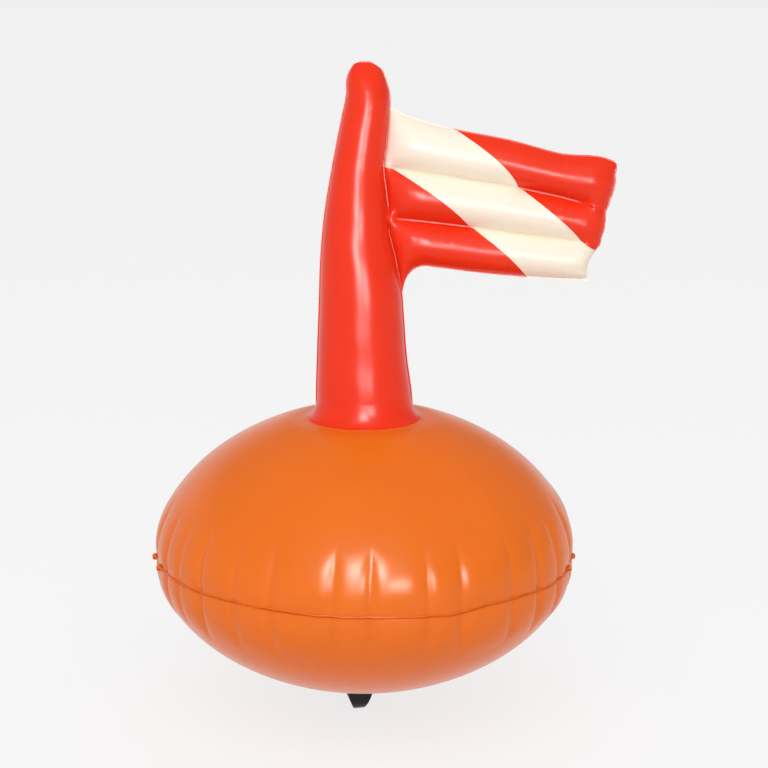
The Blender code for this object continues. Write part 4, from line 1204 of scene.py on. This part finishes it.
def finish_surface(tree, shader, base_colour, cloud, gloss, relief, depth):
    """Link a surface's colour, its gloss, which the clouds vary, and its fine relief."""
    low, high = gloss
    varied = new_node(tree, "MapRange", To_Min=low, To_Max=high, Value=cloud)
    bump = new_node(tree, "Bump", Distance=depth, Strength=RELIEF_STRENGTH, Height=relief)
    connect(tree, shader, Base_Color=base_colour, Roughness=varied.outputs["Result"],
            Normal=bump.outputs["Normal"])


def film_material(name, base, weld_pale_and_glint, weld_pale_and_glint_share, groups, roughness):
    """Blown vinyl film: clouded colour, a satin gloss and pressed welds that are painted paler,
    partly as whitened film and partly as a painted highlight of their glint.
    """
    tree, shader = new_material(name, base, roughness, specular=FILM_SPECULAR)
    here = object_coordinates(tree)
    grain = place_group(tree, groups["film_grain"], Coordinates=here, Cloud_size=FILM_CLOUD)
    press = place_group(tree, groups["weld_press"], Coordinates=here, Weld=weld_attribute(tree))
    clouded = mix_colour(tree, grain["Cloud"], shade(base, 0.95), shade(base, 1.05))
    # Painted highlight: the welds are mixed towards a paler colour, which stands partly for whitened
    # film and partly for their glint
    weld_pale_and_glinted = mix_colour(tree, add_math(tree, "MULTIPLY", press["Mask"], weld_pale_and_glint_share), clouded, weld_pale_and_glint)
    relief = add_math(tree, "MULTIPLY_ADD", press["Relief"], RIB_SHARE, grain["Peel"])
    finish_surface(tree, shader, weld_pale_and_glinted, grain["Cloud"], (roughness - 0.04, roughness + 0.05),
                   relief, FILM_RELIEF)


def moulded_material(name, base, roughness, groups, peel=MOULD_PEEL, **finish):
    """Moulded or cast surface: fine grain and slightly uneven gloss."""
    tree, shader = new_material(name, base, roughness, **finish)
    here = object_coordinates(tree)
    grain = place_group(tree, groups["film_grain"], Coordinates=here, Cloud_size=MOULD_CLOUD,
                        Peel_size=peel)
    clouded = mix_colour(tree, grain["Cloud"], shade(base, 0.88), shade(base, 1.1))
    finish_surface(tree, shader, clouded, grain["Cloud"], (roughness - 0.06, roughness + 0.08),
                   grain["Peel"], MOULD_RELIEF)


def make_materials():
    colours = bpy.context.scene.film_colours
    groups = {"film_grain": film_grain_group(), "weld_press": weld_press_group()}
    orange, red = tuple(colours.float_orange), tuple(colours.flag_red)
    # The third colour of each film is its welds' pale tint: partly whitened film, partly a painted
    # glint on the weld lines
    film_material("blown_orange_film", orange, shade(orange, 1.04), 0.5, groups, 0.24)
    film_material("blown_red_film", red, (1.0, 0.30, 0.20), 0.55, groups, 0.24)
    film_material("white_print", tuple(colours.print_white), (0.97, 0.92, 0.84), 0.7, groups, 0.30)
    moulded_material("soft_vinyl", tuple(colours.valve_vinyl), 0.32, groups, coat=0.2)
    moulded_material("black_moulding", tuple(colours.lug_black), 0.20, groups, specular=0.3)
    moulded_material("cast_weight", tuple(colours.ballast_grey), 0.55, groups, peel=CAST_PEEL,
                     metallic=1.0)


def dress(piece, material):
    piece.data.materials.clear()
    piece.data.materials.append(bpy.data.materials[material])


def finish_piece(piece, material, body, slot, *nodes):
    dress(piece, material)
    ride_for(piece, body, slot, *nodes)


def cut_valve_hole(shell, sizes):
    """Open the film for the valve's tube."""
    valves = bpy.context.scene.valve_sizes
    clear_selection()
    bpy.ops.mesh.primitive_cylinder_add(vertices=64, radius=valves.stem_radius,
                                        depth=2 * valves.tube_depth)
    hole = name_piece("valve_hole")
    move_mesh(hole, valve_seat(sizes, valves)[0])
    merge_with(shell, hole, "DIFFERENCE")


class MakeMaterials(bpy.types.Operator):
    """Make the films, prints, moulded vinyls and cast metal"""
    bl_idname = "dive_float.materials"
    bl_label = "Materials"

    def execute(self, context):
        make_materials()
        return {"FINISHED"}


class MakeFloat(bpy.types.Operator):
    """Make the upper and lower film of the round float, with their pleated weld"""
    bl_idname = "dive_float.float"
    bl_label = "Float"

    def execute(self, context):
        sizes, _ = film_sizes()
        centre = Vector((AXIS, 0.0, WELD_HEIGHT))
        shells = (("upper_film", "upper_shell", sizes.rise, outline_angle(sizes.hole, sizes),
                   sizes.pleat_reach_up, 1, 3),
                  ("lower_film", "lower_shell", sizes.drop, pi / 2, sizes.pleat_reach_down, -1, 4))
        for name, node, rise, last_angle, reach, side, seed in shells:
            points, weld = shell_points(rise, last_angle, reach, side, seed, sizes)
            shell = lay_film(name, points, weld)
            close_film(shell, sizes.film, -1.0, lambda place: place - centre)
            if side > 0:
                cut_valve_hole(shell, sizes)
            finish_piece(shell, "blown_orange_film", "float", "float_film", node)
        return {"FINISHED"}


class MakeMastAndFlag(bpy.types.Operator):
    """Make the collar and the two sheets that are welded into mast and flag"""
    bl_idname = "dive_float.mast_and_flag"
    bl_label = "Mast and flag"

    def execute(self, context):
        floats, flags = film_sizes()
        for name, node, side in (("front_film", "front_sheet", -1), ("back_film", "back_sheet", 1)):
            sheet = make_sheet(name, side, flags)
            finish_piece(sheet, "blown_red_film", "float", "flag_film", node)
        collar = make_collar(floats, flags)
        finish_piece(collar, "blown_red_film", "float", "flag_film", "mast_collar")
        return {"FINISHED"}


class MakeStripes(bpy.types.Operator):
    """Lay the white diagonal on both sides of the flag"""
    bl_idname = "dive_float.stripes"
    bl_label = "Stripes"

    def execute(self, context):
        _, flags = film_sizes()
        for name, node, side in (("front_print", "stripe_front", -1),
                                 ("back_print", "stripe_back", 1)):
            stripe = make_stripe(name, side, flags)
            finish_piece(stripe, "white_print", "float", "stripe_print", node)
        return {"FINISHED"}


class MakeValve(bpy.types.Operator):
    """Make the mouth valve, its plug and its flap, behind the mast"""
    bl_idname = "dive_float.valve"
    bl_label = "Valve"

    def execute(self, context):
        valves = context.scene.valve_sizes
        seat, tilt = valve_seat(context.scene.float_sizes, valves)
        pieces = ((make_valve_moulding(valves, tilt), "float", "valve_body"),
                  (make_stopper(valves), "plug", "valve_plug"),
                  (make_flap_disc(valves), "flap", "valve_flap"))
        for piece, body, node in pieces:
            move_mesh(piece, seat)
            smooth_shade(piece, 35)
            finish_piece(piece, "soft_vinyl", body, "valve_vinyl", node)
        return {"FINISHED"}


class MakeBase(bpy.types.Operator):
    """Make the lug for the diver's line and the pocket of the ballast"""
    bl_idname = "dive_float.base"
    bl_label = "Lug and ballast"

    def execute(self, context):
        bases = context.scene.base_sizes
        loop = make_line_loop(bases)
        finish_piece(loop, "black_moulding", "float", "lug_rubber", "line_lug")
        pocket = make_ballast_cap(context.scene.float_sizes, bases)
        move_mesh(pocket, Matrix.Translation((0.0, 0.0, WELD_HEIGHT)))
        smooth_shade(pocket, 50)
        finish_piece(pocket, "blown_orange_film", "float", "float_film", "ballast_pocket")
        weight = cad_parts["ballast_weight"]
        dress(weight, "cast_weight")
        return {"FINISHED"}


def seen_share(tree):
    """1 for rays from the camera, a reflection or a clear material, and 0 for lighting."""
    path = new_node(tree, "LightPath").outputs
    seen = add_math(tree, "MAXIMUM", path["Is Camera Ray"], path["Is Glossy Ray"])
    return add_math(tree, "MAXIMUM", seen, path["Is Transmission Ray"])


def floor_material(grey):
    """Pale floor that the camera and reflections see evenly lit, with the object's shadow."""
    tree, shader = new_material("studio_floor", grey, 1.0, specular=0.0)
    glow = new_node(tree, "Emission", Color=shade(grey, FLOOR_GLOW))
    mix = new_node(tree, "MixShader",
                   Fac=add_math(tree, "MULTIPLY", seen_share(tree), FLOOR_GLOW_SHARE))
    tree.links.new(shader.outputs["BSDF"], mix.inputs[1])
    tree.links.new(glow.outputs["Emission"], mix.inputs[2])
    connect(tree, tree.nodes["Material Output"], Surface=mix.outputs["Shader"])


def make_world(strength, grey):
    """Pale backdrop that stands round the horizon and dims overhead, with an even soft light."""
    world = bpy.data.worlds.new("studio")
    bpy.context.scene.world = world
    world.use_nodes = True
    tree = world.node_tree
    tilt = new_node(tree, "VectorMath")
    tilt.operation = "DOT_PRODUCT"
    tilt.inputs[1].default_value = BACKDROP_UP
    tree.links.new(new_node(tree, "TexCoord").outputs["Generated"], tilt.inputs[0])
    low, high, horizon, overhead = BACKDROP_RANGE
    backdrop = new_node(tree, "MapRange", Value=tilt.outputs["Value"], From_Min=low,
                        From_Max=high, To_Min=horizon, To_Max=overhead)
    backdrop.interpolation_type = "SMOOTHSTEP"
    level = new_node(tree, "Mix", Factor=seen_share(tree), A=strength,
                     B=backdrop.outputs["Result"])
    connect(tree, tree.nodes["Background"], Color=grey, Strength=level.outputs["Result"])


def add_softbox(name, place, aim, size, power, diffuse, glossy):
    """A soft lamp that the camera doesn't see, with the kinds of ray that do."""
    light = bpy.data.lights.new(name, "AREA")
    light.shape = "RECTANGLE"
    light.size, light.size_y = size
    light.energy = power
    lamp = bpy.data.objects.new(name, light)
    bpy.context.scene.collection.objects.link(lamp)
    lamp.visible_camera = False
    lamp.visible_diffuse = diffuse
    lamp.visible_glossy = glossy
    lamp.location = place
    lamp.rotation_euler = (Vector(aim) - Vector(place)).to_track_quat("-Z", "Y").to_euler()


class MakeStage(bpy.types.Operator):
    """Set up the floor, the soft studio light and the camera"""
    bl_idname = "dive_float.stage"
    bl_label = "Stage"

    def execute(self, context):
        settings = context.scene.stage_settings
        grey = tuple(context.scene.film_colours.floor_grey)
        clear_selection()
        bpy.ops.mesh.primitive_plane_add(size=FLOOR_SIZE,
                                         location=(0.0, 0.0, CAD_LOW.z - FLOOR_GAP))
        floor = name_piece("studio_floor")
        floor_material(grey)
        dress(floor, "studio_floor")
        make_world(settings.world_strength, grey)
        for name, place, aim, size, power, diffuse, glossy in LAMPS:
            add_softbox(name, place, aim, size, getattr(settings, power), diffuse, glossy)
        lens = bpy.data.cameras.new("camera")
        lens.lens = settings.lens
        lens.sensor_width = SENSOR_WIDTH
        camera = bpy.data.objects.new("camera", lens)
        context.scene.collection.objects.link(camera)
        camera.location = settings.camera_place
        camera.rotation_euler = (pi / 2 - settings.camera_dip, 0.0, 0.0)
        context.scene.camera = camera
        context.scene.view_settings.view_transform = "Standard"
        return {"FINISHED"}


class DiveFloatPanel(bpy.types.Panel):
    """Sizes, colours and steps of the dive flag float"""
    bl_idname = "VIEW3D_PT_dive_float"
    bl_label = "Dive flag float"
    bl_space_type = "VIEW_3D"
    bl_region_type = "UI"
    bl_category = "Dive float"

    def draw(self, context):
        for name in GROUPS:
            group = getattr(context.scene, name)
            box = self.layout.box()
            for key in group.bl_rna.properties.keys():
                if key not in ("rna_type", "name"):
                    box.prop(group, key)
        for step in STEPS:
            self.layout.operator(step.bl_idname)


GROUPS = {"float_sizes": FloatSizes, "flag_sizes": FlagSizes, "valve_sizes": ValveSizes,
          "base_sizes": BaseSizes, "film_colours": FilmColours, "stage_settings": StageSettings}
STEPS = (MakeMaterials, MakeFloat, MakeMastAndFlag, MakeStripes, MakeValve, MakeBase, MakeStage)


def register():
    for kind in (*GROUPS.values(), *STEPS, DiveFloatPanel):
        bpy.utils.register_class(kind)
    for name, kind in GROUPS.items():
        setattr(bpy.types.Scene, name, bpy.props.PointerProperty(type=kind))


def unregister():
    for name in GROUPS:
        delattr(bpy.types.Scene, name)
    for kind in reversed((*GROUPS.values(), *STEPS, DiveFloatPanel)):
        bpy.utils.unregister_class(kind)


def main():
    register()
    bpy.ops.dive_float.materials()
    bpy.ops.dive_float.float()
    bpy.ops.dive_float.mast_and_flag()
    bpy.ops.dive_float.stripes()
    bpy.ops.dive_float.valve()
    bpy.ops.dive_float.base()
    bpy.ops.dive_float.stage()


if __name__ == "__main__":
    main()
